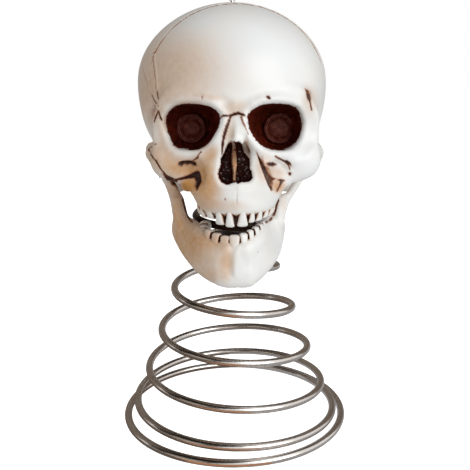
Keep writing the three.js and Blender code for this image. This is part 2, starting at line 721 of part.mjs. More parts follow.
const quartersToTop = 4 * (coilTurns - footTurnShare);
const gripAt = (quarters) => wirePoint((footTurnShare + quarters / 4) / coilTurns);
const hindQuarter = 4 * Math.floor(quartersToTop / 4) - 1;
const hindGrip = gripAt(hindQuarter);
const rightGrip = gripAt(hindQuarter + 1);
const gripTilt = Math.atan2(hindGrip.z - rightGrip.z, hindGrip.y - ball.y);
const gripOrigin = new THREE.Vector3(
  ball.x, ball.y, rightGrip.z + (ball.y - rightGrip.y) * Math.tan(gripTilt));
const toGrip = new THREE.Matrix4().makeRotationX(gripTilt).setPosition(gripOrigin);
const inGrip = (point) => point.clone().applyMatrix4(toGrip.clone().invert());

// Two arms and a hub on one side of the split plane: above it for the block, below for the clamp
function gripArms(sense) {
  const from = clampSplit / 2;
  const hind = inGrip(hindGrip);
  const right = inGrip(rightGrip);
  const hindLength = hind.y + armOverhang + wireRadius;
  const rightLength = right.x + armOverhang + wireRadius;
  const hubLength = sense > 0 ? hubHeight : armThickness;
  const hub = moved(alongAxisZ(rod(hubDiameter, hubLength)), 0, 0, sense * (from + hubLength / 2));
  const hindArm = moved(new THREE.BoxGeometry(armWidth, hindLength, armThickness),
    hind.x / 2, hindLength / 2, sense * (from + armThickness / 2));
  const rightArm = moved(new THREE.BoxGeometry(rightLength, armWidth, armThickness),
    rightLength / 2, 0, sense * (from + armThickness / 2));
  return joined([hub, hindArm, rightArm].map((geometry) => solidOf(geometry.applyMatrix4(toGrip))));
}

const wireGroove = ringSolid(wireSections(wireRadius + gripGap));

function screwRod(diameter, from, to) {
  return solidOf(moved(alongAxisZ(rod(diameter, to - from)), 0, 0, (from + to) / 2).applyMatrix4(toGrip));
}

const screwSeat = -clampSplit / 2 - armThickness;
const screwTip = clampSplit / 2 + screwReach;
const screwBore = screwRod(screwDiameter + 2 * seatGap, screwSeat - cutOverrun, screwTip + seatGap);

function neckBlock() {
  const post = moved(alongAxisZ(rod(postDiameter, ball.z - gripOrigin.z - hubHeight / 2)),
    ball.x, ball.y, (ball.z + gripOrigin.z + hubHeight / 2) / 2);
  const head = moved(new THREE.SphereGeometry(ballDiameter / 2, roundSides, roundSides / 2),
    ...ball.toArray());
  return cutBy(joined([gripArms(1), solidOf(post), solidOf(head)]), [wireGroove, screwBore]);
}

const clampPlate = () => cutBy(gripArms(-1), [wireGroove, screwBore]);

const clampScrew = () => screwRod(screwDiameter, screwSeat - seatGap, screwTip)
  .add(screwRod(screwHeadDiameter, screwSeat - seatGap - screwHeadHeight, screwSeat - seatGap));

// The crown's hanging loop stands on a shank through the shell

const crown = place([0, crownShare, upShare]);

function loopShankRod(diameter, overrun) {
  return solidOf(moved(alongAxisZ(rod(diameter, loopShank + overrun)),
    crown.x, crown.y, crown.z - (loopShank + overrun) / 2 + overrun));
}

function crownLoop() {
  const ring = new THREE.TorusGeometry((loopDiameter - loopWire) / 2, loopWire / 2, loopSides, roundSides);
  return solidOf(moved(ring.rotateX(Math.PI / 2), crown.x, crown.y, crown.z + seatGap + loopDiameter / 2))
    .add(loopShankRod(loopShankDiameter, loopWire / 2 + seatGap));
}

// Materials

const bone = new THREE.MeshStandardMaterial({ color: '#e8dfcd', roughness: 0.36, metalness: 0 });
const socketBrown = new THREE.MeshStandardMaterial({ color: '#3b1512', roughness: 0.45, metalness: 0 });
const darkPlastic = new THREE.MeshStandardMaterial({ color: '#2c211c', roughness: 0.5, metalness: 0 });
const springSteel = new THREE.MeshStandardMaterial({ color: '#a39c94', roughness: 0.22, metalness: 1 });
const screwSteel = new THREE.MeshStandardMaterial({ color: '#8c8a86', roughness: 0.35, metalness: 1 });

// The assembly

const group = new THREE.Group();

function addPiece(name, solid, material) {
  const mesh = new THREE.Mesh(geometryOf(solid), material);
  mesh.name = name;
  group.add(mesh);
}

addPiece('face_shell', headSolid(faceGridShares).intersect(seamSide(-1)), bone);
addPiece('rear_shell', headSolid(rearGridShares).intersect(seamSide(1)), bone);
addPiece('jaw', jawSolid(), bone);
addPiece('left_jaw_pin', jawPin(-1), bone);
addPiece('right_jaw_pin', jawPin(1), bone);
addPiece('left_eye_disc', eyeDisc(-1), socketBrown);
addPiece('right_eye_disc', eyeDisc(1), socketBrown);
addPiece('crown_loop', crownLoop(), screwSteel);
addPiece('neck_block', neckBlock(), darkPlastic);
addPiece('clamp_plate', clampPlate(), darkPlastic);
addPiece('clamp_screw', clampScrew(), screwSteel);
addPiece('cone_spring', springSolid(), springSteel);

export default group;
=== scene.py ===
import math

import bmesh
import bpy
import numpy as np
import openvdb
from mathutils import Matrix, Vector


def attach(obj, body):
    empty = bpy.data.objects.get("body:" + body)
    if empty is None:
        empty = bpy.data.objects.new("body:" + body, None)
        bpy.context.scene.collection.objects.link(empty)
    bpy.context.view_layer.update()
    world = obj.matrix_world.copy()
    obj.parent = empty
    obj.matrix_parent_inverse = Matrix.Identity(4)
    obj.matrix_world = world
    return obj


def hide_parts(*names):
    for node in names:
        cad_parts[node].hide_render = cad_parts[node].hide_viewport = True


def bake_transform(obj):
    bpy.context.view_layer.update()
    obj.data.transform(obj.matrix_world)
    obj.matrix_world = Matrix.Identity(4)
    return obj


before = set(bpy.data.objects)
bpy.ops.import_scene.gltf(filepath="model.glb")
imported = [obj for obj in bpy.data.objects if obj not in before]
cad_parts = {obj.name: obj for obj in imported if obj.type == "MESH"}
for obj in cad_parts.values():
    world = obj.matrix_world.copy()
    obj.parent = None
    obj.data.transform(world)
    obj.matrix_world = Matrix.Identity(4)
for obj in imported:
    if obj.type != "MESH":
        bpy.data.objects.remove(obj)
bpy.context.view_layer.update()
mm = 0.001
print("stage: frame loaded")


# Helpers

def linear(hexColour):
    # sRGB hex to the linear colour that the shader takes
    parts = [int(hexColour[i:i + 2], 16) / 255 for i in (1, 3, 5)]
    return tuple(c / 12.92 if c <= 0.04045 else ((c + 0.055) / 1.055) ** 2.4 for c in parts) + (1.0,)


def addNode(tree, kind, inputs=None, **settings):
    # an input is named or numbered; it is a value, or (node, output) to link from
    node = tree.nodes.new(kind)
    for name, value in settings.items():
        setattr(node, name, value)
    for name, value in (inputs or {}).items():
        socket = node.inputs[name]
        if isinstance(value, tuple) and isinstance(value[0], bpy.types.Node):
            tree.links.new(value[0].outputs[value[1]], socket)
        else:
            socket.default_value = value
    return node


def newMaterial(name):
    material = bpy.data.materials.new(name)
    material.use_nodes = True
    tree = material.node_tree
    tree.nodes.clear()
    return material, tree


def deselectAll():
    if bpy.context.object and bpy.context.object.mode != "OBJECT":
        bpy.ops.object.mode_set(mode="OBJECT")
    bpy.ops.object.select_all(action="DESELECT")


def addObject(name, mesh, material):
    obj = bpy.data.objects.new(name, mesh)
    bpy.context.collection.objects.link(obj)
    mesh.materials.append(material)
    mesh.polygons.foreach_set("use_smooth", [True] * len(mesh.polygons))
    return obj


def meshObject(name, points, faces, material):
    # faces are turned outwards, whichever way they are listed
    mesh = bpy.data.meshes.new(name)
    mesh.from_pydata([tuple(p) for p in points], [], [tuple(f) for f in faces])
    mesh.update()
    bm = bmesh.new()
    bm.from_mesh(mesh)
    bmesh.ops.recalc_face_normals(bm, faces=bm.faces[:])
    bm.to_mesh(mesh)
    bm.free()
    return addObject(name, mesh, material)


def smoothstep(low, high, value):
    t = np.clip((value - low) / (high - low), 0, 1)
    return t * t * (3 - 2 * t)


# Camera
# The photograph's camera. Its distance, height and pitch are the result of a least-squares fit to
# points read on the spring's turns. Its turn and its place to the side were set against the
# skull's outline.

cameraPlace = {"focalPixels": 620.0, "framePixels": 470.0, "middleAcross": 237.5, "middleDown": 235.0,
               "distance": 297.02, "height": 148.45,
               "pitch": 10.934, "yaw": 2.7, "aside": 1.9, "forward": 0.8, "shared": 0.4}
pitch, yaw = math.radians(cameraPlace["pitch"]), math.radians(cameraPlace["yaw"])
cameraSpot = np.array([
    -cameraPlace["distance"] * math.sin(yaw) + cameraPlace["aside"] * math.cos(yaw) + cameraPlace["shared"],
    -cameraPlace["distance"] * math.cos(yaw) - cameraPlace["aside"] * math.sin(yaw) + cameraPlace["forward"],
    cameraPlace["height"]])

cameraData = bpy.data.cameras.new("photoCamera")
cameraData.sensor_width = 36.0
cameraData.lens = cameraData.sensor_width * cameraPlace["focalPixels"] / cameraPlace["framePixels"]
offCentre = cameraPlace["framePixels"] / 2 - cameraPlace["middleAcross"]
cameraData.shift_x = offCentre / cameraPlace["framePixels"]
cameraData.clip_start = 0.01
camera = bpy.data.objects.new("photoCamera", cameraData)
camera.location = Vector(cameraSpot) * mm
camera.rotation_euler = (math.pi / 2 - pitch, 0, -yaw)
bpy.context.collection.objects.link(camera)
bpy.context.scene.camera = camera


def pixelWays(pixels):
    # directions through pixels of the photograph, as columns
    pixels = np.array(pixels, dtype=float)
    across = (pixels[:, 0] - cameraPlace["middleAcross"]) / cameraPlace["focalPixels"]
    up = (cameraPlace["middleDown"] - pixels[:, 1]) / cameraPlace["focalPixels"]
    along = math.cos(pitch) + up * math.sin(pitch)
    rise = -math.sin(pitch) + up * math.cos(pitch)
    ways = np.array([across * math.cos(yaw) + along * math.sin(yaw),
                     -across * math.sin(yaw) + along * math.cos(yaw), rise])
    return ways / np.linalg.norm(ways, axis=0)


def pixelsOf(p):
    # where points fall in the photograph, and how many millimetres a pixel covers there
    off = p + (skullSetback - cameraSpot)[:, None]
    ahead = off[0] * math.sin(yaw) + off[1] * math.cos(yaw)
    aside = off[0] * math.cos(yaw) - off[1] * math.sin(yaw)
    depth = ahead * math.cos(pitch) - off[2] * math.sin(pitch)
    lift = ahead * math.sin(pitch) + off[2] * math.cos(pitch)
    focal = cameraPlace["focalPixels"]
    return (cameraPlace["middleAcross"] + aside / depth * focal,
            cameraPlace["middleDown"] - lift / depth * focal,
            depth / focal)


# Lump fields
# Negative inside, in millimetres. The skull's tables are from its own middle plane, and its
# places are moved back by skullSetback when they leave the tables.

skullSetback = np.array([0.0, 0.8, 0.0])


def ellipsoid(p, at, size):
    size = np.array(size)[:, None]
    q = (p - np.array(at)[:, None]) / size
    near = np.sqrt((q ** 2).sum(axis=0))
    slope = np.sqrt(((q / size) ** 2).sum(axis=0))
    return near * (near - 1) / np.maximum(slope, 1e-6)


def rounded(points):
    # a smooth curve through a table's points, with every column carried along
    steps = 3
    spots = [np.array(p, dtype=float) for p in points]
    at = lambda i: spots[min(len(spots) - 1, max(0, i))]
    out = []
    for i in range(len(spots) - 1):
        a, b, c, d = at(i - 1), at(i), at(i + 1), at(i + 2)
        for j in range(steps):
            t = j / steps
            out.append(b + (c - a) / 2 * t + (a - 2.5 * b + 2 * c - d / 2) * t ** 2
                       + (1.5 * (b - c) + (d - a) / 2) * t ** 3)
    return out + [spots[-1]]


def chain(p, points):
    least = np.full(p.shape[1], 1e3, dtype=p.dtype)
    for a, b in zip(points, points[1:]):
        way = (b - a)[:3, None]
        off = p - a[:3, None]
        t = np.clip((off * way).sum(axis=0) / (way ** 2).sum(), 0, 1)
        gap = np.sqrt(((off - way * t) ** 2).sum(axis=0)) - (a[3] + (b[3] - a[3]) * t)
        least = np.minimum(least, gap)
    return least


def softMin(a, b, soft):
    if soft <= 0:
        return np.minimum(a, b)
    lap = np.maximum(soft - np.abs(a - b), 0) / soft
    return np.minimum(a, b) - lap * lap * soft / 4


def softMax(a, b, soft):
    return -softMin(-a, -b, soft)


lumpReach = 6  # how far past its own size a lump still blends, in millimetres


def withLumps(p, value, lumps):
    # each lump is worked out only round itself
    for lump in lumps:
        if "through" in lump:
            lump.setdefault("curve", rounded(lump["through"]))
            spots = np.array(lump["curve"])
            low, high = (spots[:, :3] - spots[:, 3:]).min(axis=0), (spots[:, :3] + spots[:, 3:]).max(axis=0)
        else:
            low = np.array(lump["at"]) - np.array(lump["size"])
            high = np.array(lump["at"]) + np.array(lump["size"])
        reach = lump["soft"] + lumpReach
        near = ((p > (low - reach)[:, None]) & (p < (high + reach)[:, None])).all(axis=0)
        if not near.any():
            continue
        q = p[:, near]
        gap = chain(q, lump["curve"]) if "through" in lump else ellipsoid(q, lump["at"], lump["size"])
        if lump.get("hollow"):
            value[near] = softMax(value[near], -gap, lump["soft"])
        else:
            value[near] = softMin(value[near], gap, lump["soft"])
    return value


def mirrored(p):
    return np.array([np.sqrt(p[0] ** 2 + 0.04), p[1], p[2]])


def outlineField(x, z, outline):
    # signed distance to a closed outline in front view
    spots = np.array(outline)
    least = np.full(x.shape, 1e3)
    inside = np.zeros(x.shape, dtype=bool)
    for (ax, az), (bx, bz) in zip(spots, np.roll(spots, -1, axis=0)):
        wx, wz = bx - ax, bz - az
        t = np.clip(((x - ax) * wx + (z - az) * wz) / (wx * wx + wz * wz), 0, 1)
        least = np.minimum(least, np.hypot(x - ax - wx * t, z - az - wz * t))
        crossed = (az > z) != (bz > z)
        safe = np.where(crossed, bz - az, 1)
        inside ^= crossed & (x < ax + (z - az) / safe * wx)
    return np.where(inside, -least, least)


# Skull shape

craniumLumps = {
    "vaultBack": {"at": [0, 8, 163.5], "size": [44.4, 44.5, 35]},
    "vaultFront": {"at": [0, -15.5, 160.5], "size": [37.5, 36, 33.5], "soft": 10},
    "vaultBase": {"at": [0, 8, 146], "size": [39.2, 37, 27], "soft": 12},
}

skullLumps = {
    "mastoid": {"at": [26.5, 10, 120.5], "size": [6.2, 8.5, 9.5], "soft": 6},
    "temporalHollow": {"at": [36.5, -21, 134], "size": [8.2, 14, 13.5], "soft": 7, "hollow": True},
    "sphenoid": {"at": [0, -20, 131], "size": [24, 24, 14], "soft": 5},
    "maxilla": {"at": [0, -34, 122], "size": [17.6, 19.4, 12], "soft": 4},
    "toothRidge": {"at": [0, -34.6, 117], "size": [16, 20.8, 9.6], "soft": 3},
    "upperGum": {"soft": 3, "through": [[0, -52.1, 112.6, 3.4], [4.8, -50.9, 112.6, 3.4],
                                        [9, -47.9, 112.8, 3.4],
                 [12, -43.3, 113.2, 3.4], [13.4, -37.6, 113.8, 3.4], [13.6, -32, 114.6, 3.3]]},
    "toothBacking": {"soft": 1, "through": [[0, -50.3, 109, 2.2], [4.8, -49.1, 109, 2.2],
                                            [9, -45.8, 109.1, 2.2],
                     [12.3, -41.2, 109.3, 2.3], [13.8, -36, 109.6, 2.3], [14, -28, 110, 2.3]]},
    "orbitSide": {"at": [26.2, -29.5, 138], "size": [4.6, 9, 11], "soft": 3},
    "cheekRoot": {"at": [10.5, -44.5, 124], "size": [9, 9, 11], "soft": 5},
    "brow": {"soft": 5, "through": [[0, -46.8, 152.5, 3.8], [9, -47, 154.6, 3.2], [18.5, -45.3, 156.4, 3],
             [26.5, -41, 155, 3.2], [31.2, -36.5, 148.5, 3.2], [31.4, -35, 141, 3.4], [30, -36, 134, 4.4]]},
    "cheekBone": {"at": [26.5, -37, 129.5], "size": [8.6, 7, 7.5], "soft": 4},
    "cheekCrest": {"soft": 4, "through": [[34.6, -28, 132, 3], [30, -34, 129, 4.4], [24.8, -38.5, 126.6, 4.4],
                   [17.6, -40.5, 122, 3.8], [13.2, -40, 117.4, 3]]},
    "lowerRim": {"soft": 3, "through": [[30, -37.5, 133, 3], [23, -42.8, 131.3, 2.9], [14, -47, 132.2, 2.7],
                 [7.5, -49, 137.5, 2.5], [5.8, -48.5, 146, 2.6]]},
    "cheekArch": {"soft": 3, "through": [[30, -34, 129.5, 3.8], [34.8, -27, 132.6, 3.3],
                                         [36.6, -17, 134, 2.6],
                  [36, -5, 133.6, 2.7], [33.5, 5, 132.5, 3.5]]},
    "noseBone": {"soft": 4, "through": [[0, -47, 149, 3.8], [0, -50.8, 143.5, 3.3], [0, -52.8, 138.8, 2.4]]},
    "noseEdge": {"soft": 3, "through": [[3.6, -49.2, 146, 2.6], [6.5, -50.2, 138, 2.6], [9, -49.6, 130, 2.4],
                 [8.6, -49.8, 123, 2.4], [5, -51.2, 119.6, 2.2], [0, -52.5, 120.2, 2]]},
}

# The blocks under the cheeks, by side, because the photograph shows them uneven
sideBlocks = {
    -1: {"soft": 1.2, "through": [[-20.4, -27, 124, 3.2], [-20.6, -27, 118.9, 3.2]]},
    1: {"soft": 1.2, "through": [[16.8, -27, 124, 2.8], [16.8, -27, 118.6, 2.8]]},
}

rimHollow = {"at": [18.5, -50.5, 125], "size": [5.5, 5.2, 5.5], "soft": 4, "hollow": True}

# The eye sockets: each opening's outline in the photograph, and the round back wall behind it
socketShape = {
    "outlines": {
        -1: [(165.6, 123), (166.3, 117), (169.4, 111), (175, 106.2), (182.5, 104), (191.3, 103.6),
             (201.3, 104.3), (210, 106), (215.6, 109.6), (218.8, 113.6), (220.2, 118), (219.6, 123),
             (217.6, 129.3), (213.8, 135.5), (209.2, 141), (204.2, 145.6), (198.6, 148.8), (192, 149.2),
             (185, 148.8), (177.8, 148), (174, 145.4), (171.6, 141), (169.8, 136), (167.4, 131.4)],
        1: [(248, 120), (248.2, 115.5), (251, 111), (255.4, 107.2), (262.5, 104.3), (270, 103.2),
            (280, 103.3), (289, 104.4), (295.6, 107.4), (299.2, 112), (300.8, 118), (301.8, 124),
            (301.2, 130), (299.2, 136.8), (295.4, 142.4), (290, 147), (283.8, 149.4), (277.5, 150),
            (270, 149.1), (263.8, 146.8), (258.8, 143), (254.4, 137.6), (251.2, 132.4), (249, 126.6)]},
    "rimInner": [6, -48], "rimOuter": [30, -38], "backY": -25.6, "backAt": [18, 142.8], "backRadius": 7.6,
    "sideFrom": 23.4, "sideSlope": 1.7, "bend": 1.6, "rimSoft": 1.0, "backSoft": 3}

# The nose's opening in the photograph, and the thin wall that parts it
noseShape = {
    "outline": [(228.3, 145), (230.5, 142.8), (235, 142), (239.6, 142.8), (241.8, 146.8), (243.2, 151.8),
                (246, 155.4), (249.2, 159), (249.9, 164), (249.4, 168), (251.8, 173), (252.2, 178),
                (249.4, 181.4), (245, 182.3), (241, 181.6), (238, 183.6), (234.6, 181.8), (230.6, 183.8),
                (226.3, 184.6), (221.6, 182.6), (218.9, 178), (218.3, 173), (219.6, 168.6), (221.2, 165.5),
                (220.6, 162), (221.2, 158), (224.4, 153), (226.4, 148.4)],
    "septumAt": -1.2, "septumThin": 0.5, "septumThick": 1.05, "septumLow": 124, "septumHigh": 131,
    "septumFront": -49.5, "septumSoft": 0.6, "backY": -38, "rimSoft": 0.9}

# The raised rim round each opening and the shallow hollow beyond it
rimShape = {"eyeAt": 1.8, "eyeWidth": 1.2, "eyeHeight": 0.75, "hollow": 0.45, "hollowAt": 5.2,
            "hollowWidth": 1.8,
            "noseAt": 1.2, "noseWidth": 0.8, "noseHeight": 0.4}


def socketOpening(p, side):
    across, down, scale = pixelsOf(p)
    return outlineField(across, down, socketShape["outlines"][side]) * scale


def noseOpening(p):
    across, down, scale = pixelsOf(p)
    return outlineField(across, down, noseShape["outline"]) * scale


def socketField(p, side):
    s = socketShape
    (innerAt, innerY), (outerAt, outerY) = s["rimInner"], s["rimOuter"]
    rim = innerY + (outerY - innerY) * (np.abs(p[0]) - innerAt) / (outerAt - innerAt)
    back = np.clip((p[1] - rim) / (s["backY"] - rim), 0, 1) ** s["bend"]
    wall = np.hypot(p[0] - side * s["backAt"][0], p[2] - s["backAt"][1]) - s["backRadius"]
    gap = socketOpening(p, side) * (1 - back) + wall * back
    behind = p[1] - s["backY"]
    beside = (behind + s["sideSlope"] * (np.abs(p[0]) - s["sideFrom"])) / math.hypot(1, s["sideSlope"])
    return softMax(gap, softMax(behind, beside, s["backSoft"]), s["backSoft"])


def septumGap(p):
    # how far outside the thin wall in the nose a point is, across it
    s = noseShape
    share = smoothstep(s["septumLow"], s["septumHigh"], p[2])
    half = s["septumThin"] + (s["septumThick"] - s["septumThin"]) * share
    return np.abs(p[0] - s["septumAt"]) - half


def noseField(p):
    gap = noseOpening(p)
    septum = np.maximum(septumGap(p), noseShape["septumFront"] - p[1])
    return np.maximum(softMax(gap, -septum, noseShape["septumSoft"]), p[1] - noseShape["backY"])


def plainSkull(q):
    # before the sockets and the nose are cut
    value = ellipsoid(q, craniumLumps["vaultBack"]["at"], craniumLumps["vaultBack"]["size"])
    for name in ("vaultFront", "vaultBase"):
        lump = craniumLumps[name]
        value = softMin(value, ellipsoid(q, lump["at"], lump["size"]), lump["soft"])
    return withLumps(q, value, skullLumps.values())


def skullField(p):
    q = mirrored(p)
    value = withLumps(p, withLumps(q, plainSkull(q), [rimHollow]), sideBlocks.values())
    near = (q[1] < -18) & (q[2] > 112) & (q[2] < 162) & (q[0] < 38)
    for side in (-1, 1):
        here = near & (p[0] * side > -2)
        if here.any():
            value[here] = softMax(value[here], -socketField(p[:, here], side), socketShape["rimSoft"])
    here = near & (q[0] < 12) & (q[1] < -30)
    if here.any():
        value[here] = softMax(value[here], -noseField(p[:, here]), noseShape["rimSoft"])
    return value


# Jaw shape

jawLumps = {
    "lowerEdge": {"soft": 0, "through": [[0, -49.2, 84.4, 5.2], [6.5, -48.2, 84.4, 5.2],
                                         [12.5, -43, 86.2, 4.8],
                  [17.4, -34, 88.5, 4.3], [21.5, -24, 91.5, 4], [24, -15, 95.5, 4]]},
    "gum": {"soft": 6, "through": [[0, -51.6, 94.4, 3.6], [6.2, -50, 95, 3.6], [11.2, -43.9, 97.6, 3.7],
            [15, -34.2, 100.6, 3.6], [20.2, -24, 101.8, 3.4]]},
    "wall": {"soft": 6, "through": [[0, -49, 89.4, 4.2], [6.5, -47.8, 89.8, 4.2], [12.2, -42.4, 92, 4.2],
             [16.6, -34, 94.6, 4], [20.6, -24, 97.4, 3.8], [23.2, -17, 100, 3.6]]},
    "gumLeft": {"soft": 3, "through": [[-5.4, -50.4, 95.2, 3.2], [-9, -47.8, 96.8, 3.4],
                                       [-12.4, -43, 98.6, 3.5],
                [-15, -36, 100.2, 3.5]]},
    "gumRight": {"soft": 3, "through": [[3.6, -51.4, 95.6, 3.3], [7.4, -49.4, 97, 3.4],
                                        [11.4, -44.6, 99, 3.5],
                 [14.6, -37.6, 100.8, 3.5]]},
    "chinPad": {"at": [3.6, -51.5, 83.9], "size": [5.5, 3.2, 4.2], "soft": 3},
    "chinRidge": {"at": [0, -52.2, 87.5], "size": [1.8, 2.2, 7], "soft": 2.5},
}

# The gum stands lower on the left in the photograph, and the ramus shows a broad front on either side
gumDrop = {"by": 2.9, "from": -3.5, "to": -10}
ramusFaces = {
    -1: {"soft": 2, "through": [[-25.2, -24.5, 111.8, 1.8], [-24.6, -25, 107, 2.2], [-23, -26.5, 102, 2.4]]},
    1: {"soft": 2, "through": [[20.2, -23.5, 111.8, 2.2], [19.8, -24, 107, 2.4], [19, -26, 102, 2.8]]},
}

# The ramus in side view (along, up, half thickness of the outline), and how its plate stands
ramusShape = {
    "neck": [[-13.5, 98, 4.6], [-6.8, 120.5, 3.2]], "front": [[-21, 100, 5], [-20.5, 118, 2.2]],
    "middle": [[-17, 100, 7], [-15, 107, 6]], "soft": 3, "plate": 2.1, "plateSoft": 2.2, "bodySoft": 3.5,
    "across": 24.6, "atUp": 97, "up": 0.1, "atAlong": -16, "along": 0.2, "flareFrom": 106, "flare": 0.0144,
}
hingeShape = {"along": -6, "up": 121.96, "eyeFrom": 29.3, "eyeTo": 32.9, "eyeRadius": 4,
              "edgeSoft": 0.8, "joinSoft": 1}


def ramusField(q):
    def strip(a, b):
        way = np.array(b[:2]) - np.array(a[:2])
        off = q[1:] - np.array(a[:2])[:, None]
        t = np.clip((off * way[:, None]).sum(axis=0) / (way ** 2).sum(), 0, 1)
        return np.hypot(*(off - way[:, None] * t)) - (a[2] + (b[2] - a[2]) * t)

    s = ramusShape
    side = softMin(softMin(strip(*s["neck"]), strip(*s["front"]), s["soft"]), strip(*s["middle"]), s["soft"])
    middle = (s["across"] + s["up"] * (q[2] - s["atUp"]) + s["along"] * (q[1] - s["atAlong"])
              + s["flare"] * np.maximum(0, q[2] - s["flareFrom"]) ** 2)
    return softMax(side, np.abs(q[0] - middle) - s["plate"], s["plateSoft"])


# The loose jaw sits skewed: its right side hangs further in, below the hinge
jawSkew = {"shift": 3.4, "from": 120, "to": 104.5, "across": 14,
           "trim": 1.6, "trimTop": 109, "trimFull": 101, "trimLow": 87, "trimFrom": 10, "trimTo": 19}


def skewed(p):
    s = jawSkew
    amount = s["shift"] * smoothstep(s["from"], s["to"], p[2]) * smoothstep(0, s["across"], p[0])
    band = smoothstep(s["trimTop"], s["trimFull"], p[2]) * smoothstep(s["trimLow"], s["trimFull"] - 6, p[2])
    amount = amount + s["trim"] * band * smoothstep(s["trimFrom"], s["trimTo"], p[0])
    return np.array([p[0] + amount, p[1], p[2]])


def jawField(p):
    hung = skewed(p)
    q = mirrored(hung)
    value = np.full(q.shape[1], 1e3)
    drop = gumDrop["by"] * smoothstep(gumDrop["from"], gumDrop["to"], hung[0])
    for name in ("lowerEdge", "gum", "wall"):
        lump = jawLumps[name]
        lump.setdefault("curve", rounded(lump["through"]))
        down = drop if name == "gum" else 0
        value = softMin(value, chain(np.array([q[0], q[1], q[2] + down]), lump["curve"]), lump["soft"])
    value = withLumps(q, value, [jawLumps["chinPad"], jawLumps["chinRidge"]])
    value = withLumps(np.array([hung[0], hung[1], hung[2] + drop]), value, [jawLumps["gumLeft"]])
    value = withLumps(hung, value, [jawLumps["gumRight"]])
    value = withLumps(p, value, ramusFaces.values())
    value = softMin(value, ramusField(q), ramusShape["bodySoft"])
    h = hingeShape
    out = np.hypot(q[1] - h["along"], q[2] - h["up"])
    eye = softMax(out - h["eyeRadius"], np.abs(q[0] - (h["eyeFrom"] + h["eyeTo"]) / 2)
                  - (h["eyeTo"] - h["eyeFrom"]) / 2, h["edgeSoft"])
    return softMin(value, eye, h["joinSoft"])


# Teeth

# Each row stands on half an ellipse. A tooth's numbers are its place across (as the sine of its turn),
# its width at the tip and its half depth, then the heights of its tip and of its gum line.
# Eleven of the places and eight of the tip heights are numbers that a program worked out from edges
# read in the photograph.
teethShape = {
    "upper": {"across": 13.9, "along": 18, "middle": -34.9, "sense": -1, "root": 0.56, "gap": 0.05,
              "tipSoft": 1.1,
              "power": 2.9, "sunk": 3.5,
              "teeth": [[-0.225, 4, 2.1, 104.3, 110.5], [0.127, 4.7, 2.1, 104.6, 110.5],
                        [-0.497, 4.7, 2, 105, 110.4], [0.377, 3.4, 2, 106, 110.7],
                        [-0.739, 5, 2.3, 107, 111.4], [0.579, 4, 2.3, 106.4, 110.9],
                        [-0.905, 4.6, 3, 106.9, 111.2], [0.755, 4.2, 2.6, 107.1, 111.2],
                        [-0.985, 4.6, 3.2, 107.3, 111.8], [0.893, 4.4, 2.8, 107.3, 111.5],
                        [0.972, 4.6, 3, 107.6, 111.8]],
              "back": [[-1, 98, 4.8, 3, 107.9, 111.9], [1, 96, 4.8, 3, 107.9, 112],
                       [-1, 113, 4.6, 3, 108, 112],
                       [1, 112, 4.6, 3, 108, 112]]},
    "lower": {"across": 13.9, "along": 17.2, "middle": -35.4, "sense": 1, "root": 0.86, "gap": 0.05,
              "tipSoft": 1,
              "power": 3.2, "sunk": 0.6,
              "teeth": [[-0.092, 4.6, 2, 101.2, 95.9], [0.19, 4.1, 2, 101.9, 97.4],
                        [-0.367, 4.1, 1.8, 100.7, 95.6], [-0.62, 4.1, 1.9, 101.4, 96.4],
                        [-0.83, 4.3, 2.1, 102.2, 97.4], [0.443, 3.7, 2, 103, 98.9],
                        [0.674, 4.4, 2.2, 103.8, 100], [0.86, 4.4, 2.4, 104.4, 101.4],
                        [0.97, 4.4, 2.6, 104.8, 102]],
              "back": [[-1, 92, 4.6, 2.6, 102.4, 98.2], [1, 92, 4.6, 2.8, 105, 102.4],
                       [-1, 106, 4.6, 2.8, 103.4, 99.6],
                       [1, 106, 4.6, 2.8, 105.2, 102.8]]},
    # how a tooth leans, and how it widens and swells from its gum to its tip
    "lean": 0.08, "widens": (1.15, 1.1), "depths": (0.8, 0.24, 0.2), "bulge": (0.8, 0.12),
}


def toothRow(row):
    placed = []
    turns = [(math.asin(sine), rest) for sine, *rest in row["teeth"]]
    turns += [(side * math.radians(turn), rest) for side, turn, *rest in row["back"]]
    for angle, (width, depth, tip, gum) in turns:
        placed.append({"x": row["across"] * math.sin(angle),
                       "y": row["middle"] - row["along"] * math.cos(angle),
                       "facing": math.atan2(row["along"] * math.sin(angle), row["across"] * math.cos(angle)),
                       "width": width, "depth": depth, "height": abs(tip - gum), "gum": gum})
    return placed


def teethField(p, row):
    least = np.full(p.shape[1], 1e3)
    for tooth in row["placed"]:
        up = (p[2] - tooth["gum"]) * row["sense"]
        dx, dy = p[0] - tooth["x"], p[1] - tooth["y"]
        near = (np.hypot(dx, dy) < tooth["width"] + 3) & (np.abs(up) < tooth["height"] + 5)
        if not near.any():
            continue
        dx, dy, up = dx[near], dy[near], up[near]
        c, s = math.cos(tooth["facing"]), math.sin(tooth["facing"])
        u, v = dx * c + dy * s, -dx * s + dy * c - teethShape["lean"] * up
        k = np.clip(up / tooth["height"], 0, 1)
        (faster, bend), (plain, swell, thins) = teethShape["widens"], teethShape["depths"]
        stretch, start = teethShape["bulge"]
        flare = row["root"] + (1 - row["root"]) * np.minimum(1, k * faster) ** bend
        wide = (tooth["width"] / 2 - row["gap"]) * flare
        swelling = np.sin(math.pi * np.minimum(1, k * stretch + start))
        deep = tooth["depth"] * (plain + swell * swelling - thins * k)
        ring = (np.abs(u / wide) ** row["power"] + np.abs(v / deep) ** row["power"]) ** (1 / row["power"])
        side = (ring - 1) * np.minimum(wide, deep)
        half = (tooth["height"] + row["sunk"]) / 2
        gap = softMax(side, np.abs(up - tooth["height"] + half) - half, row["tipSoft"])
        least[near] = np.minimum(least[near], gap)
    return least


for rowName in ("upper", "lower"):
    teethShape[rowName]["placed"] = toothRow(teethShape[rowName])


# Meshes from fields

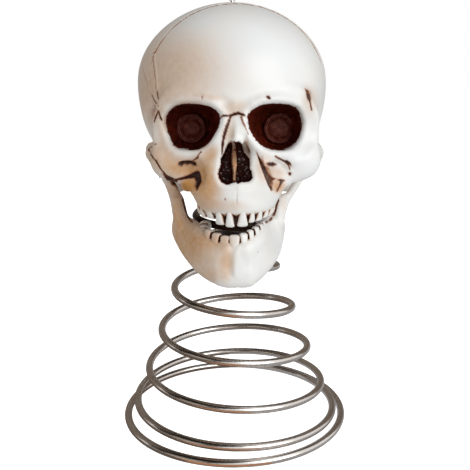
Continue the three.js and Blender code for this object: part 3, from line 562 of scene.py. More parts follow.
gridFar = 5.0  # the grid's value away from the surface, in millimetres


def sampled(field, low, high, step):
    # the field on a grid, worked out finely only where the surface can be
    skip = 4
    counts = [int(math.ceil((h - l) / step / skip)) * skip for l, h in zip(low, high)]
    centres = np.meshgrid(*[l + (np.arange(n // skip) + 0.5) * skip * step for l, n in zip(low, counts)],
                          indexing="ij")
    coarse = field(np.array([c.ravel() for c in centres])).reshape(centres[0].shape)
    blocks = coarse
    for axis in range(3):
        blocks = np.repeat(blocks, skip, axis=axis)
    values = np.where(blocks > 0, gridFar, -gridFar)
    halfDiagonal = skip * step * 0.87
    near = np.abs(blocks) < halfDiagonal * 1.5 + 1.2
    spots = np.argwhere(near)
    points = (np.array(low)[:, None] + (spots.T + 0.5) * step)
    values[near] = field(points)
    return values


relaxRounds = 2


def relaxed(points, faces, field):
    edges = np.concatenate([faces[:, [i, (i + 1) % 4]] for i in range(4)])
    count = np.bincount(edges.ravel(), minlength=len(points))[:, None]
    for _ in range(relaxRounds):
        total = np.zeros_like(points)
        for axis in range(3):
            total[:, axis] = (np.bincount(edges[:, 0], points[edges[:, 1], axis], len(points))
                              + np.bincount(edges[:, 1], points[edges[:, 0], axis], len(points)))
        points = points + (total / np.maximum(count, 1) - points) * 0.4
        points = drawnTo(points, field)
    return points


def slopeOf(points, field):
    p = points.T
    value = field(p)
    probe = 0.05
    slope = np.array([(field(p + probe * np.eye(3)[:, [axis]]) - value) / probe for axis in range(3)])
    return value, slope


def drawnTo(points, field):
    value, slope = slopeOf(points, field)
    steep = np.maximum((slope ** 2).sum(axis=0), 0.05)
    pull = np.clip(value / steep, -0.6, 0.6)
    return points - (slope * pull).T


def fieldMesh(field, low, high, step):
    grid = openvdb.FloatGrid(gridFar)
    grid.copyFromArray(sampled(field, low, high, step).astype(np.float32))
    points, triangles, quads = grid.convertToPolygons(0.0, 0.0)
    points = np.array(low) + (points.astype(float) + 0.5) * step
    faces = quads.astype(int)
    if len(triangles):
        tri = triangles.astype(int)
        faces = np.concatenate([faces, np.column_stack([tri, tri[:, 2]])])
    points = relaxed(points, faces, field)
    a, b, c = (points[faces[:, i]] for i in range(3))
    if np.einsum("ij,ij->i", a, np.cross(b, c)).sum() < 0:
        faces = faces[:, ::-1]
    return points, faces


# Marks: painted, cut or raised lines. Their pixels were read in the photograph, and each is moved
# from the camera on to the surface behind it.

headMarks = {
    # width and depth in millimetres, paint from 0 to 1; a negative depth is raised
    "browSuture": {"pixels": [(220.8, 117.5), (225.8, 116), (231.7, 114.6), (238.3, 113), (242.5, 115),
                              (248, 118.6)], "width": 0.5, "depth": 0.5, "paint": 1},
    "noseSutureLeft": {"pixels": [(230.4, 116), (228.3, 123), (225.8, 130), (223.6, 138.3), (222.6, 146),
                                  (222, 154)], "width": 0.45, "depth": 0.4, "paint": 1},
    "noseSutureRight": {"pixels": [(241, 117), (242.6, 123), (245, 129), (248, 134)],
                        "width": 0.7, "depth": 0.2, "paint": 0.35},
    "noseRidge": {"pixels": [(236, 117), (236.4, 125), (236, 133), (235.2, 140)],
                  "width": 1.3, "depth": -0.35, "paint": 0},
    "noseRidgeRight": {"pixels": [(241.8, 119), (243.6, 124), (245.6, 130), (248.6, 138)],
                       "width": 1, "depth": -0.3, "paint": 0},
    "templeRidgeLeft": {"pixels": [(155.4, 50), (155, 56), (155.8, 66.7), (157, 76), (158, 88), (157, 97)],
                        "width": 0.6, "depth": -0.4, "paint": 0},
    "templeRidgeShade": {"pixels": [(153.4, 52), (153.2, 60), (154, 68), (155.2, 78), (156, 90)],
                         "width": 0.45, "depth": 0.12, "paint": 0.32},
    "cheekSutureRight": {"pixels": [(275, 156.5), (280, 159), (285, 162.4), (288.3, 165), (290, 169.5)],
                         "width": 0.4, "depth": 0.35, "paint": 0.75},
    "creaseRight": {"pixels": [(259, 158.6), (262, 167), (265.4, 175.6), (268.6, 184), (271.6, 190)],
                    "width": 0.5, "depth": 0.4, "paint": 0.85},
    "cheekRidgeRight": {"pixels": [(276, 158), (281, 161.4), (286, 165), (290.4, 170.6)],
                        "width": 0.9, "depth": -0.35, "paint": 0},
    "templeCreaseLow": {"pixels": [(310.6, 101), (311.6, 106), (312.4, 111)], "width": 0.5, "depth": 0.25,
                        "paint": 0.6},
    "cheekPoreRight": {"pixels": [(289.8, 174), (290.4, 174.4)], "width": 0.6, "depth": 0.6, "paint": 1},
    "cheekSutureLeft": {"pixels": [(201.7, 152.5), (197.5, 157.5), (192.5, 161.7)],
                        "width": 0.35, "depth": 0.3, "paint": 0.7},
    "cheekFootLeft": {"pixels": [(163.6, 172.4), (168, 176.4), (175, 179.6), (182, 179), (189, 176.4),
                                 (194, 173.4), (198.4, 171.8)], "width": 0.45, "depth": 0.2, "paint": 0.9},
    "cheekEdgeLeft": {"pixels": [(148.4, 149.5), (151.6, 155.5), (156.4, 161.5), (159.4, 167), (163, 172)],
                      "width": 0.45, "depth": 0.2, "paint": 0.9},
    "archSutureLeft": {"pixels": [(148.5, 148.6), (152, 146.4), (155.4, 144)],
                       "width": 0.4, "depth": 0.3, "paint": 0.9},
    "templeLeftLong": {"pixels": [(152.2, 96), (155, 103), (156.6, 110)],
                       "width": 0.4, "depth": 0.35, "paint": 0.9},
    "templeLeftInner": {"pixels": [(157.6, 92), (157.8, 99), (157.5, 106)],
                        "width": 0.4, "depth": 0.3, "paint": 0.8},
    "templeLeftLow": {"pixels": [(157.4, 112), (154.4, 118.3), (152.9, 122.5)],
                      "width": 0.45, "depth": 0.3, "paint": 0.9},
    "templeLeftFork": {"pixels": [(158.4, 111.6), (160.2, 115.8), (161.4, 119.4)],
                       "width": 0.4, "depth": 0.3, "paint": 0.8},
    "browCrest": {"pixels": [(205, 97), (211, 99.6), (216.4, 103.4), (220.6, 108.6)],
                  "width": 2.2, "depth": -0.55, "paint": 0},
    "browCrestRight": {"pixels": [(254, 104.6), (260, 100.6), (268, 99), (280, 98.6), (292, 100.4),
                                  (299, 104)],
                       "width": 2, "depth": -0.45, "paint": 0},
    "browNotchRight": {"pixels": [(267.4, 97), (269, 98.2)], "width": 0.6, "depth": 0.7, "paint": 1},
    "browNotchLeft": {"pixels": [(202, 96), (202.6, 99)], "width": 0.35, "depth": 0.3, "paint": 0.35},
    "middleSeam": {"pixels": [(236.6, 187), (236.8, 196), (236.6, 207)],
                   "width": 0.3, "depth": 0.12, "paint": 0.25},
    "cheekPoreLeft": {"pixels": [(225, 199), (225.4, 200.4)], "width": 0.3, "depth": 0.2, "paint": 0.6},
    "sideStreakLow": {"pixels": [(152, 98), (149, 90), (146, 80), (143, 70), (142.4, 62)],
                      "width": 1.2, "depth": 0.12, "paint": 0.16},
    "sideStreakHigh": {"pixels": [(155, 103), (153, 92), (150, 82), (149.4, 72)],
                       "width": 1.1, "depth": 0.1, "paint": 0.14},
}

# Dark paint in hollows, by their outlines in the photograph. Under and behind the left cheekbone and at
# the edge of the right cheekbone's block it is painted shade; in the valley beside the nose on the right it
# is wash and painted shade; the rest is antiquing wash.
headPatches = {
    "underCheekShadeLeft": {"pixels": [(178.4, 178.6), (184, 177.2), (190, 174.6), (195, 171.8), (199, 171.6),
                                  (200.6, 176),
                                  (201.2, 181), (199.2, 185.4), (196.8, 190), (195.2, 186), (196.2, 181),
                                  (194.4, 177.6),
                                  (190, 177.8), (185, 178.8), (180.4, 180.2)], "paint": 1, "depth": 0.7},
    "behindCheekShadowLeft": {"pixels": [(163, 173.6), (168, 177), (174, 180), (177.6, 180.4), (175, 186),
                                   (172, 186.4),
                                   (168.6, 182)], "paint": 1, "depth": 0.2},
    "underRimLeft": {"pixels": [(178.2, 165.6), (178.8, 163), (182, 161.6), (186.4, 161.4), (190.6, 162),
                                (195, 163.4),
                                (196, 165.6), (192.6, 165.8), (190, 164.2), (187.4, 165.2), (184, 164.6),
                                (181.4, 166.2)], "paint": 1, "depth": 0.7},
    "noseValleyWashAndShadeRight": {"pixels": [(256.2, 151.6), (259, 157), (263.4, 162.6), (266.6, 169), (269.4, 174),
                                   (272.6, 177.4),
                                   (276, 178.6), (272.6, 180.6), (271.4, 184), (273, 190), (271.4, 191),
                                   (268, 183.6),
                                   (264.6, 175), (261.4, 167), (258, 158.6)], "paint": 0.64, "depth": 0.8},
    "underRimRight": {"pixels": [(267.4, 163.4), (270.4, 162.6), (274, 163.4), (276.6, 165), (273.6, 166.2),
                                 (270, 165.6)], "paint": 1, "depth": 0.6},
    "cheekNotchRight": {"pixels": [(283.4, 161.8), (287, 161.2), (290.2, 163.2), (291.4, 166.6),
                                   (288.4, 164.4),
                                   (285.6, 163.4)], "paint": 0.75, "depth": 0.4},
    "templeCreaseRight": {"pixels": [(304.8, 88), (307.4, 89.6), (309.4, 91), (310.6, 95), (311.4, 99.6),
                                     (311.2, 104.6),
                                     (309.6, 101), (307.6, 97), (306.4, 92.6)], "paint": 0.62, "depth": 0.5},
    "blockEdgeShadeRight": {"pixels": [(277.4, 179.6), (281, 179.4), (285.6, 180.4), (283, 182), (280.4, 186),
                                  (277.4, 192),
                                  (276.6, 191), (279.4, 184.6), (280.4, 181.6)], "paint": 0.7, "depth": 0.3},
}

jawMarks = {
    "ramusFrontLeft": {"pixels": [(180, 184), (181.2, 190), (183, 200), (185.2, 209), (188.6, 217),
                                  (192.6, 222)],
                       "width": 0.7, "depth": 0, "paint": 1},
    "ramusFrontRight": {"pixels": [(284.2, 184), (281.4, 189), (279.6, 194), (278, 200), (276.2, 207),
                                   (274.2, 214),
                                   (271, 219), (266, 222.6)], "width": 0.55, "depth": 0, "paint": 0.95},
    "chinHollow": {"pixels": [(233, 250), (231.4, 258), (230, 268), (230.6, 275)],
                   "width": 2.4, "depth": 0.5, "paint": 0},
    "chinEdge": {"pixels": [(237.4, 248), (235, 255), (234, 263), (234.6, 271), (237.6, 277)],
                 "width": 1.3, "depth": -0.5, "paint": 0},
    "chinPore": {"pixels": [(258, 252), (258.6, 253)], "width": 0.5, "depth": 0.3, "paint": 0.2},
}

# The moulded ridge where the two head shells meet, on a plane that is turned a little about Z
seamShape = {"along": -22.2, "turn": 0.105, "width": 0.42, "height": 0.4, "fadeFrom": 166, "fadeTo": 174,
             "besideFrom": 0.5, "besideTo": 1.5, "besidePaint": 0.42}


def seamGap(points):
    return (points[:, 1] - seamShape["along"] - seamShape["turn"] * points[:, 0]) / math.hypot(
        1, seamShape["turn"])


# How the walk to the surface starts, steps and ends, in millimetres
walk = {"start": 180.0, "rounds": 150, "share": 0.7, "back": -1.5, "ahead": 2.5, "near": 0.3}


def ontoField(field, pixels):
    # walks from the camera through each pixel to the field's surface
    ways = pixelWays(pixels)
    start = cameraSpot - skullSetback
    gone = np.full(len(pixels), walk["start"])
    for _ in range(walk["rounds"]):
        value = field(start[:, None] + ways * gone)
        gone += np.clip(value * walk["share"], walk["back"], walk["ahead"])
    points = (start[:, None] + ways * gone).T
    hit = np.abs(value) < walk["near"]
    return points[hit]


def placeMarks(marks, field):
    for name, mark in marks.items():
        mark["points"] = ontoField(field, mark["pixels"])
        if len(mark["points"]) < len(mark["pixels"]):
            print("mark", name, "misses", len(mark["pixels"]) - len(mark["points"]), "of its points")


def markGap(points, spots, taper=0.0):
    # least distance from each point to a line through spots; with taper, wider gaps towards the line's ends
    gap = np.full(len(points), 99.0)
    if not len(spots):
        return gap
    near = ((points > spots.min(axis=0) - 5) & (points < spots.max(axis=0) + 5)).all(axis=1)
    q = points[near]
    least = np.linalg.norm(q - spots[0], axis=1)
    lengths = np.linalg.norm(np.diff(spots, axis=0), axis=1)
    total, gone = max(lengths.sum(), 1e-6), 0.0
    for a, b, length in zip(spots, spots[1:], lengths):
        way = b - a
        t = np.clip(((q - a) @ way) / max(way @ way, 1e-9), 0, 1)
        share = (gone + t * length) / total
        thick = 1 - taper + taper * np.sqrt(np.maximum(np.sin(math.pi * (0.04 + 0.92 * share)), 0.05))
        least = np.minimum(least, np.linalg.norm(q - a - t[:, None] * way, axis=1) / thick)
        gone += length
    gap[near] = least
    return gap


markReach = 2.2  # faces this close to a mark are cut finer, in millimetres


def closeToMarks(points, marks):
    least = np.full(len(points), 99.0)
    for mark in marks.values():
        least = np.minimum(least, markGap(points, mark["points"]) / max(1, mark["width"]))
    return least


def refined(points, faces, closeTo, rounds):
    bm = bmesh.new()
    verts = [bm.verts.new(p) for p in points]
    for f in faces:
        corners = [verts[i] for i in dict.fromkeys(f)]
        if len(corners) > 2:
            try:
                bm.faces.new(corners)
            except ValueError:
                pass
    for r in range(rounds):
        bm.verts.ensure_lookup_table()
        spots = np.array([v.co for v in bm.verts])
        near = closeTo(spots) < markReach / (r + 1) ** 0.7
        edges = [e for e in bm.edges if near[e.verts[0].index] and near[e.verts[1].index]]
        bmesh.ops.subdivide_edges(bm, edges=edges, cuts=1, use_grid_fill=True)
        bm.verts.index_update()
    bmesh.ops.triangulate(bm, faces=[f for f in bm.faces if len(f.verts) > 4])
    bm.verts.index_update()
    return bm


markHalo = {"amount": 0.24, "reach": 0.8}


def paintFrom(points, marks, normals):
    # moves points in or out by the marks and returns how much paint each point carries
    paint = np.zeros(len(points))
    shift = np.zeros(len(points))
    for mark in marks.values():
        gap = markGap(points, mark["points"], 0.6)
        width = mark["width"]
        shift -= mark["depth"] * np.exp(-(gap / width) ** 2)
        paint = np.maximum(paint, mark["paint"] * smoothstep(width * 1.3, width * 0.25, gap))
        halo = np.exp(-(gap / (width + markHalo["reach"])) ** 2)
        paint = np.maximum(paint, mark["paint"] * markHalo["amount"] * halo)
    return points + normals * shift[:, None], paint


def roundOutline(across, down, spots):
    # which pixels lie in a box a little larger than an outline
    low, high = spots.min(axis=0) - 3, spots.max(axis=0) + 3
    return (across > low[0]) & (across < high[0]) & (down > low[1]) & (down < high[1])


# A patch's edge, its paler halo and its hollow. Each pair is a distance outside the outline and one inside.
patchEdge = {"paint": (0.3, -0.25), "halo": (1.3, 0), "haloMost": 0.26, "depth": (0.25, -0.5),
             "front": -12, "facing": 0.35}


def paintPatches(points, patches, normals):
    across, down, scale = pixelsOf(points.T)
    front = (points[:, 1] < patchEdge["front"]) & (normals[:, 1] < patchEdge["facing"])
    paint = np.zeros(len(points))
    shift = np.zeros(len(points))
    for patch in patches.values():
        spots = np.array(patch["pixels"])
        near = front & roundOutline(across, down, spots)
        if near.any():
            gap = outlineField(across[near], down[near], spots) * scale[near]
            full = patch["paint"] * smoothstep(*patchEdge["paint"], gap)
            halo = patch["paint"] * patchEdge["haloMost"] * smoothstep(*patchEdge["halo"], gap)
            paint[near] = np.maximum(paint[near], full)
            paint[near] = np.maximum(paint[near], halo)
            shift[near] = np.minimum(shift[near], -patch["depth"] * smoothstep(*patchEdge["depth"], gap))
    return points + normals * shift[:, None], paint


shadePaint = {"reaches": (1.2, 2.6, 5.5), "wash": (0.5, 1), "washMost": 0.85, "tan": (0.2, 0.7),
              "tanMost": 0.6}


def shelter(points, normals, field):
    # 0 in the open and towards 1 where the surface round a point closes in on it
    total = np.zeros(len(points))
    for reach in shadePaint["reaches"]:
        value = field((points + normals * reach).T)
        total += np.clip((reach - value) / reach, 0, 1.2)
    return total / len(shadePaint["reaches"])


# Tan and wash dabs, by pixels of the photograph: centre, reach across and down, and amount. They are
# partly antiquing paint and partly painted shade: most tan dabs darken the skull's left side, turned from
# the key light, and the dabs under the cheekbones paint the shade there.
headDabs = {
    "tan": [((168, 74), (52, 58), 0.34), ((186, 74), (64, 50), 0.28), ((150, 92), (22, 50), 0.16),
            ((146, 110), (14, 36), 0.3), ((160, 156), (26, 22), 0.6), ((183, 169), (26, 14), 0.8),
            ((188, 185), (9, 7), 1), ((184, 101), (20, 3), 0.45), ((163, 124), (5, 20), 0.5),
            ((204, 178), (20, 34), 0.75), ((206, 192), (22, 24), 0.5), ((210, 152), (12, 12), 0.6),
            ((229, 134), (8, 24), 0.4), ((264, 168), (11, 18), 0.45), ((276, 174), (14, 9), 0.4),
            ((235, 108), (18, 10), 0.4), ((188, 187), (10, 9), 1), ((278, 186), (10, 9), 0.8),
            ((310, 100), (10, 18), 0.3), ((222, 206), (30, 8), 0.4), ((162, 124), (9, 24), 0.3),
            ((205, 98), (26, 5), 0.3)],
    "wash": [((197, 174), (5, 6), 0.35), ((309, 96), (4, 10), 0.25), ((154, 112), (4, 14), 0.25),
             ((262, 162), (4, 9), 0.3), ((267, 172), (5, 10), 0.35), ((271, 181), (4, 8), 0.4),
             ((234, 150), (3, 10), 0.35)],
}
# The jaw's tan dabs, mostly on its left, are tan paint with painted shade of the side turned from the key
# light; its wash dabs paint the shadow in the gap under the left cheekbone, by the ramus.
jawDabs = {
    "tan": [((172, 208), (18, 44), 0.7), ((184, 240), (28, 34), 0.75), ((206, 256), (28, 30), 0.5),
            ((227, 262), (9, 24), 0.55), ((216, 240), (26, 12), 0.45), ((208, 276), (24, 10), 0.4),
            ((283, 200), (5, 20), 0.2)],
    "wash": [((174, 182), (5, 5), 0.7), ((178, 186), (4, 5), 0.4)],
}


# The dabs' paint and painted shade fade towards the back, except low down, and from a dab's middle to its
# edge
dabFade = {"back": (26, -16), "low": (130, 124), "edge": (1.2, 0.2)}


def dabbedPaintAndShade(points, dabs, kind):
    across, down, _ = pixelsOf(points.T)
    front = np.maximum(smoothstep(*dabFade["back"], points[:, 1]), smoothstep(*dabFade["low"], points[:, 2]))
    amount = np.zeros(len(points))
    for (x, y), (wide, tall), strength in dabs[kind]:
        gap = np.hypot((across - x) / wide, (down - y) / tall)
        dab = np.clip(strength * smoothstep(*dabFade["edge"], gap), 0, 1)
        amount = 1 - (1 - amount) * (1 - dab)
    return amount * front


def shelterPaint(points, normals, paint, field, dabs):
    # wash and tan, from the marks' paint, from where the surface closes in, and from the dabs' paint and
    # painted shade
    closed = shelter(points, normals, field)
    wash = np.maximum(paint, smoothstep(*shadePaint["wash"], closed) * shadePaint["washMost"])
    tan = smoothstep(*shadePaint["tan"], closed) * shadePaint["tanMost"]
    return np.maximum(wash, dabbedPaintAndShade(points, dabs, "wash")), np.maximum(tan, dabbedPaintAndShade(points, dabs, "tan"))


def writeAttribute(mesh, name, values):
    attribute = mesh.attributes.new(name, "FLOAT", "POINT")
    attribute.data.foreach_set("value", np.asarray(values, dtype=np.float32))


def headWithTeeth(p):
    return np.minimum(skullField(p), teethField(p, teethShape["upper"]))


def lowerTeethField(p):
    return teethField(skewed(p), teethShape["lower"])


def jawWithTeeth(p):
    return np.minimum(jawField(p), lowerTeethField(p))


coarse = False
headStep = 1.3 if coarse else 0.8
jawStep = 1.0 if coarse else 0.6
toothStep = 0.6 if coarse else 0.32
print("stage: fields ready")
placeMarks(headMarks, skullField)
placeMarks(jawMarks, jawField)


# Materials

bonePaint = {"ivory": "#f0ebe1", "cool": "#edf1f3", "tan": "#c8904c", "rust": "#955c38", "brown": "#34150d",
             "maroon": "#64200f", "blackMaroon": "#2e0b07", "bareMaroon": "#844330",
             "roughness": 0.34, "grainSize": 0.5, "wearSize": 2.4, "raggedSize": 1.1, "cloudSize": 26}


def antiquedPlastic():
    # Injection moulded ivory ABS, glossy, with brown antiquing paint wiped off the high places, and painted
    # shade carried in its tan and wash layers
    material, tree = newMaterial("antiquedIvoryPlastic")
    place = addNode(tree, "ShaderNodeTexCoord")
    fine, wear, cloud, ragged = [
        addNode(tree, "ShaderNodeTexNoise", {"Vector": (place, "Object"), "Scale": 1 / (bonePaint[size] * mm),
                                             "Detail": detail, "Roughness": roughness})
        for size, detail, roughness in (("grainSize", 3.0, 0.5), ("wearSize", 5.0, 0.62),
                                        ("cloudSize", 3.0, 0.5),
                                        ("raggedSize", 4.0, 0.5))]
    wash, tan, deep = [addNode(tree, "ShaderNodeAttribute", attribute_name=name) for name in ("wash", "tan",
                                                                                              "deep")]
    swing = addNode(tree, "ShaderNodeMath", {0: (wear, "Fac"), 1: 2.0, 2: 0.02}, operation="MULTIPLY_ADD")
    lightSwing = addNode(tree, "ShaderNodeMath", {0: (wear, "Fac"), 1: 0.7, 2: 0.66},
                         operation="MULTIPLY_ADD")
    wornWashAndShade = addNode(tree, "ShaderNodeMath", {0: (wash, "Fac"), 1: (swing, "Value")}, operation="MULTIPLY")
    rustFactor = addNode(tree, "ShaderNodeMapRange", {"Value": (wornWashAndShade, "Value"), "From Min": 0.06,
                                                      "From Max": 0.42},
                         interpolation_type="SMOOTHSTEP")
    washAndShadeFactor = addNode(tree, "ShaderNodeMapRange", {"Value": (wornWashAndShade, "Value"), "From Min": 0.38,
                                                      "From Max": 0.7},
                         interpolation_type="SMOOTHSTEP")
    tanned = addNode(tree, "ShaderNodeMath", {0: (tan, "Fac"), 1: (lightSwing, "Value")},
                     operation="MULTIPLY")
    deepSwing = addNode(tree, "ShaderNodeMath", {0: (ragged, "Fac"), 1: 2.8, 2: -1.4},
                        operation="MULTIPLY_ADD")
    deepEdge = addNode(tree, "ShaderNodeMath", {0: (deep, "Fac"), 1: (deepSwing, "Value")}, operation="ADD")
    deepFactor = addNode(tree, "ShaderNodeMapRange", {"Value": (deepEdge, "Value"), "From Min": 0.42,
                                                      "From Max": 0.56}, interpolation_type="SMOOTHSTEP")
    reached = addNode(tree, "ShaderNodeMapRange", {"Value": (deep, "Fac"), "From Min": 0.03,
                                                   "From Max": 0.15})
    covered = addNode(tree, "ShaderNodeMapRange", {"Value": (deep, "Fac"), "From Min": 0.85,
                                                   "From Max": 0.97})
    deepFactor = addNode(tree, "ShaderNodeMath", {0: (deepFactor, "Result"), 1: (reached, "Result")},
                         operation="MINIMUM")
    deepFactor = addNode(tree, "ShaderNodeMath", {0: (deepFactor, "Value"), 1: (covered, "Result")},
                         operation="MAXIMUM")
    thick = addNode(tree, "ShaderNodeMapRange", {"Value": (wear, "Fac"), "From Min": 0.36, "From Max": 0.56})
    thin = addNode(tree, "ShaderNodeMapRange", {"Value": (ragged, "Fac"), "From Min": 0.57, "From Max": 0.7,
                                                "To Max": 0.55})
    # each colour lies over the ones before it, by its factor
    maroon = linear(bonePaint["blackMaroon"])
    for factor, over in (((thick, "Result"), "maroon"), ((thin, "Result"), "bareMaroon")):
        mixed = addNode(tree, "ShaderNodeMix", {0: factor, 6: maroon, 7: linear(bonePaint[over])},
                        data_type="RGBA")
        maroon = (mixed, 2)
    base = linear(bonePaint["ivory"])
    for factor, over in (((cloud, "Fac"), linear(bonePaint["cool"])),
                         ((tanned, "Value"), linear(bonePaint["tan"])),
                         ((rustFactor, "Result"), linear(bonePaint["rust"])),
                         ((washAndShadeFactor, "Result"), linear(bonePaint["brown"])),
                         ((deepFactor, "Value"), maroon)):
        mixed = addNode(tree, "ShaderNodeMix", {0: factor, 6: base, 7: over}, data_type="RGBA")
        base = (mixed, 2)
    rough = addNode(tree, "ShaderNodeMapRange", {"Value": (wear, "Fac"),
                                                 "To Min": bonePaint["roughness"] - 0.06,
                                                 "To Max": bonePaint["roughness"] + 0.12})
    gloss = addNode(tree, "ShaderNodeMapRange", {"Value": (deepFactor, "Value"), "To Min": 0.5,
                                                 "To Max": 0.16})
    waves = addNode(tree, "ShaderNodeBump", {"Height": (wear, "Fac"), "Distance": 0.00012, "Strength": 0.35})
    grain = addNode(tree, "ShaderNodeBump", {"Height": (fine, "Fac"), "Distance": 0.00003, "Strength": 0.4,
                                             "Normal": (waves, "Normal")})
    shader = addNode(tree, "ShaderNodeBsdfPrincipled", {
        "Base Color": base, "Roughness": (rough, "Result"), "Specular IOR Level": (gloss, "Result"),
        "IOR": 1.5, "Normal": (grain, "Normal")})
    addNode(tree, "ShaderNodeOutputMaterial", {"Surface": (shader, 0)})
    return material


discPaint = {"maroon": "#5a2016", "scratch": "#ab6650", "scratchSpacing": 0.85, "waver": 1.6,
             "waverSize": 2.2}


def stainedPlastic():
    # Moulded plastic under a dark maroon stain, with turned scratches that show paler
    material, tree = newMaterial("stainedMaroonPlastic")
    across = addNode(tree, "ShaderNodeAttribute", attribute_name="discAcross")
    up = addNode(tree, "ShaderNodeAttribute", attribute_name="discUp")
    place = addNode(tree, "ShaderNodeCombineXYZ", {"X": (across, "Fac"), "Y": (up, "Fac")})
    rings = addNode(tree, "ShaderNodeTexWave", {
        "Vector": (place, "Vector"), "Scale": math.pi / 10 / discPaint["scratchSpacing"],
        "Distortion": discPaint["waver"] * 5, "Detail": 3.0, "Detail Scale": 1 / discPaint["waverSize"]},
        wave_type="RINGS", rings_direction="SPHERICAL")
    wear = addNode(tree, "ShaderNodeTexNoise", {"Vector": (place, "Vector"),
                                                "Scale": 1 / discPaint["waverSize"],
                                                "Detail": 3.0})
    line = addNode(tree, "ShaderNodeMapRange", {"Value": (rings, "Fac"), "From Min": 0.55, "From Max": 0.95,
                                                "To Max": 1.0})
    kept = addNode(tree, "ShaderNodeMapRange", {"Value": (wear, "Fac"), "From Min": 0.4, "From Max": 0.62,
                                                "To Min": 0.05, "To Max": 0.9})
    factor = addNode(tree, "ShaderNodeMath", {0: (line, "Result"), 1: (kept, "Result")}, operation="MULTIPLY")
    mixed = addNode(tree, "ShaderNodeMix", {0: (factor, "Value"), 6: linear(discPaint["maroon"]),
                                            7: linear(discPaint["scratch"])}, data_type="RGBA")
    bump = addNode(tree, "ShaderNodeBump", {"Height": (rings, "Fac"), "Distance": 0.00015, "Strength": 0.5})
    shader = addNode(tree, "ShaderNodeBsdfPrincipled", {"Base Color": (mixed, 2), "Roughness": 0.38,
                                                        "Specular IOR Level": 0.16,
                                                        "Normal": (bump, "Normal")})
    addNode(tree, "ShaderNodeOutputMaterial", {"Surface": (shader, 0)})
    return material


steelFinish = {"bright": "#e6e4e3", "warm": "#cbbfb3", "blued": "#33261f", "paintedShadeFrom": 0.905,
               "paintedShadeTo": 0.925, "drawSize": 0.35, "cloudSize": 9}


def brightSpringWire():
    # Drawn steel wire with a thin nickel plate: bright and a little warm, with fine die lines,
    # and painted shade darkening its top end, which sits in the shade inside the head
    material, tree = newMaterial("nickelPlatedSpringWire")
    place = addNode(tree, "ShaderNodeTexCoord")
    cloud = addNode(tree, "ShaderNodeTexNoise", {"Vector": (place, "Object"),
                                                 "Scale": 1 / (steelFinish["cloudSize"] * mm), "Detail": 4.0})
    lines = addNode(tree, "ShaderNodeTexNoise", {"Vector": (place, "Object"),
                                                 "Scale": 1 / (steelFinish["drawSize"] * mm), "Detail": 2.0})
    blued = addNode(tree, "ShaderNodeAttribute", attribute_name="blued")
    plated = addNode(tree, "ShaderNodeMix", {0: (cloud, "Fac"), 6: linear(steelFinish["bright"]),
                                             7: linear(steelFinish["warm"])}, data_type="RGBA")
    shadedEnd = addNode(tree, "ShaderNodeMix", {0: (blued, "Fac"), 6: (plated, 2),
                                             7: linear(steelFinish["blued"])},
                     data_type="RGBA")
    rough = addNode(tree, "ShaderNodeMapRange", {"Value": (cloud, "Fac"), "To Min": 0.14, "To Max": 0.3})
    bump = addNode(tree, "ShaderNodeBump", {"Height": (lines, "Fac"), "Distance": 0.00002, "Strength": 0.3})
    shader = addNode(tree, "ShaderNodeBsdfPrincipled", {"Base Color": (shadedEnd, 2), "Metallic": 1.0,
                                                        "Roughness": (rough, "Result"),
                                                        "Normal": (bump, "Normal")})
    addNode(tree, "ShaderNodeOutputMaterial", {"Surface": (shader, 0)})
    return material


neckFinish = {"dark": "#231813", "pale": "#33241c", "grainSize": 0.6, "roughness": 0.5}


def darkNeckPlastic():
    # Moulded plastic, dark brown as painted shade, since the block sits in the shade inside the head: dull,
    # with a faint moulded texture
    material, tree = newMaterial("neckShadeDarkPlastic")
    place = addNode(tree, "ShaderNodeTexCoord")
    grain = addNode(tree, "ShaderNodeTexNoise", {"Vector": (place, "Object"),
                                                 "Scale": 1 / (neckFinish["grainSize"] * mm),
                                                 "Detail": 3.0})
    mixed = addNode(tree, "ShaderNodeMix", {0: (grain, "Fac"), 6: linear(neckFinish["dark"]),
                                            7: linear(neckFinish["pale"])}, data_type="RGBA")
    bump = addNode(tree, "ShaderNodeBump", {"Height": (grain, "Fac"), "Distance": 0.00005, "Strength": 0.5})
    shader = addNode(tree, "ShaderNodeBsdfPrincipled", {"Base Color": (mixed, 2),
                                                        "Roughness": neckFinish["roughness"],
                                                        "Normal": (bump, "Normal")})
    addNode(tree, "ShaderNodeOutputMaterial", {"Surface": (shader, 0)})
    return material


boneMaterial = antiquedPlastic()
discMaterial = stainedPlastic()
wireMaterial = brightSpringWire()
neckMaterial = darkNeckPlastic()


# Head shells

headFront = -55.62  # nothing of the head stands further forward


def dressed(bm, field, marks, patches=None):
    # colours and fine relief for a mesh that is still in the skull's own millimetres
    points = np.array([v.co for v in bm.verts])
    _, slope = slopeOf(points, field)
    normals = (slope / np.maximum(np.linalg.norm(slope, axis=0), 1e-6)).T
    moved, paint = paintFrom(points, marks, normals)
    if patches:
        moved, patched = paintPatches(moved, patches, normals)
        paint = np.maximum(paint, patched)
    moved[:, 1] = np.maximum(moved[:, 1], headFront)
    return points, moved, normals, paint


# Where the head's paint and relief lie. A pair is where a change begins and where it is full.
headPaint = {"opening": (1.1, -0.9), "sunk": (-0.15, 0.35), "farSunk": (0.3, 0.8), "onCut": (0.8, 0.4),
             "nearCut": (1.7, 0.9), "deepFront": -15, "noseMost": 0.8,
             "wallGap": (2.4, 1.2), "wallBehind": (1.5, 3), "wallAcross": 20, "wallFront": -22,
             "septumGap": 0.15, "septumInside": -0.3, "septumFront": -44, "septumWash": 0.2, "septumTan": 0.8,
             "facing": (-12, -20), "rimBare": 0.5,
             "mouth": (1.02, 0.96), "mouthUnder": (111.2, 110.2), "mouthShade": 0.95, "mouthLength": 12}


# The box round each socket, where its edge is cut finer: its middle across and up, and its half sizes
socketBox = {"at": (18, 143), "half": (17, 16), "front": -22}
edgeWeight = 1.4  # edges and the seam count as this much further off than a mark


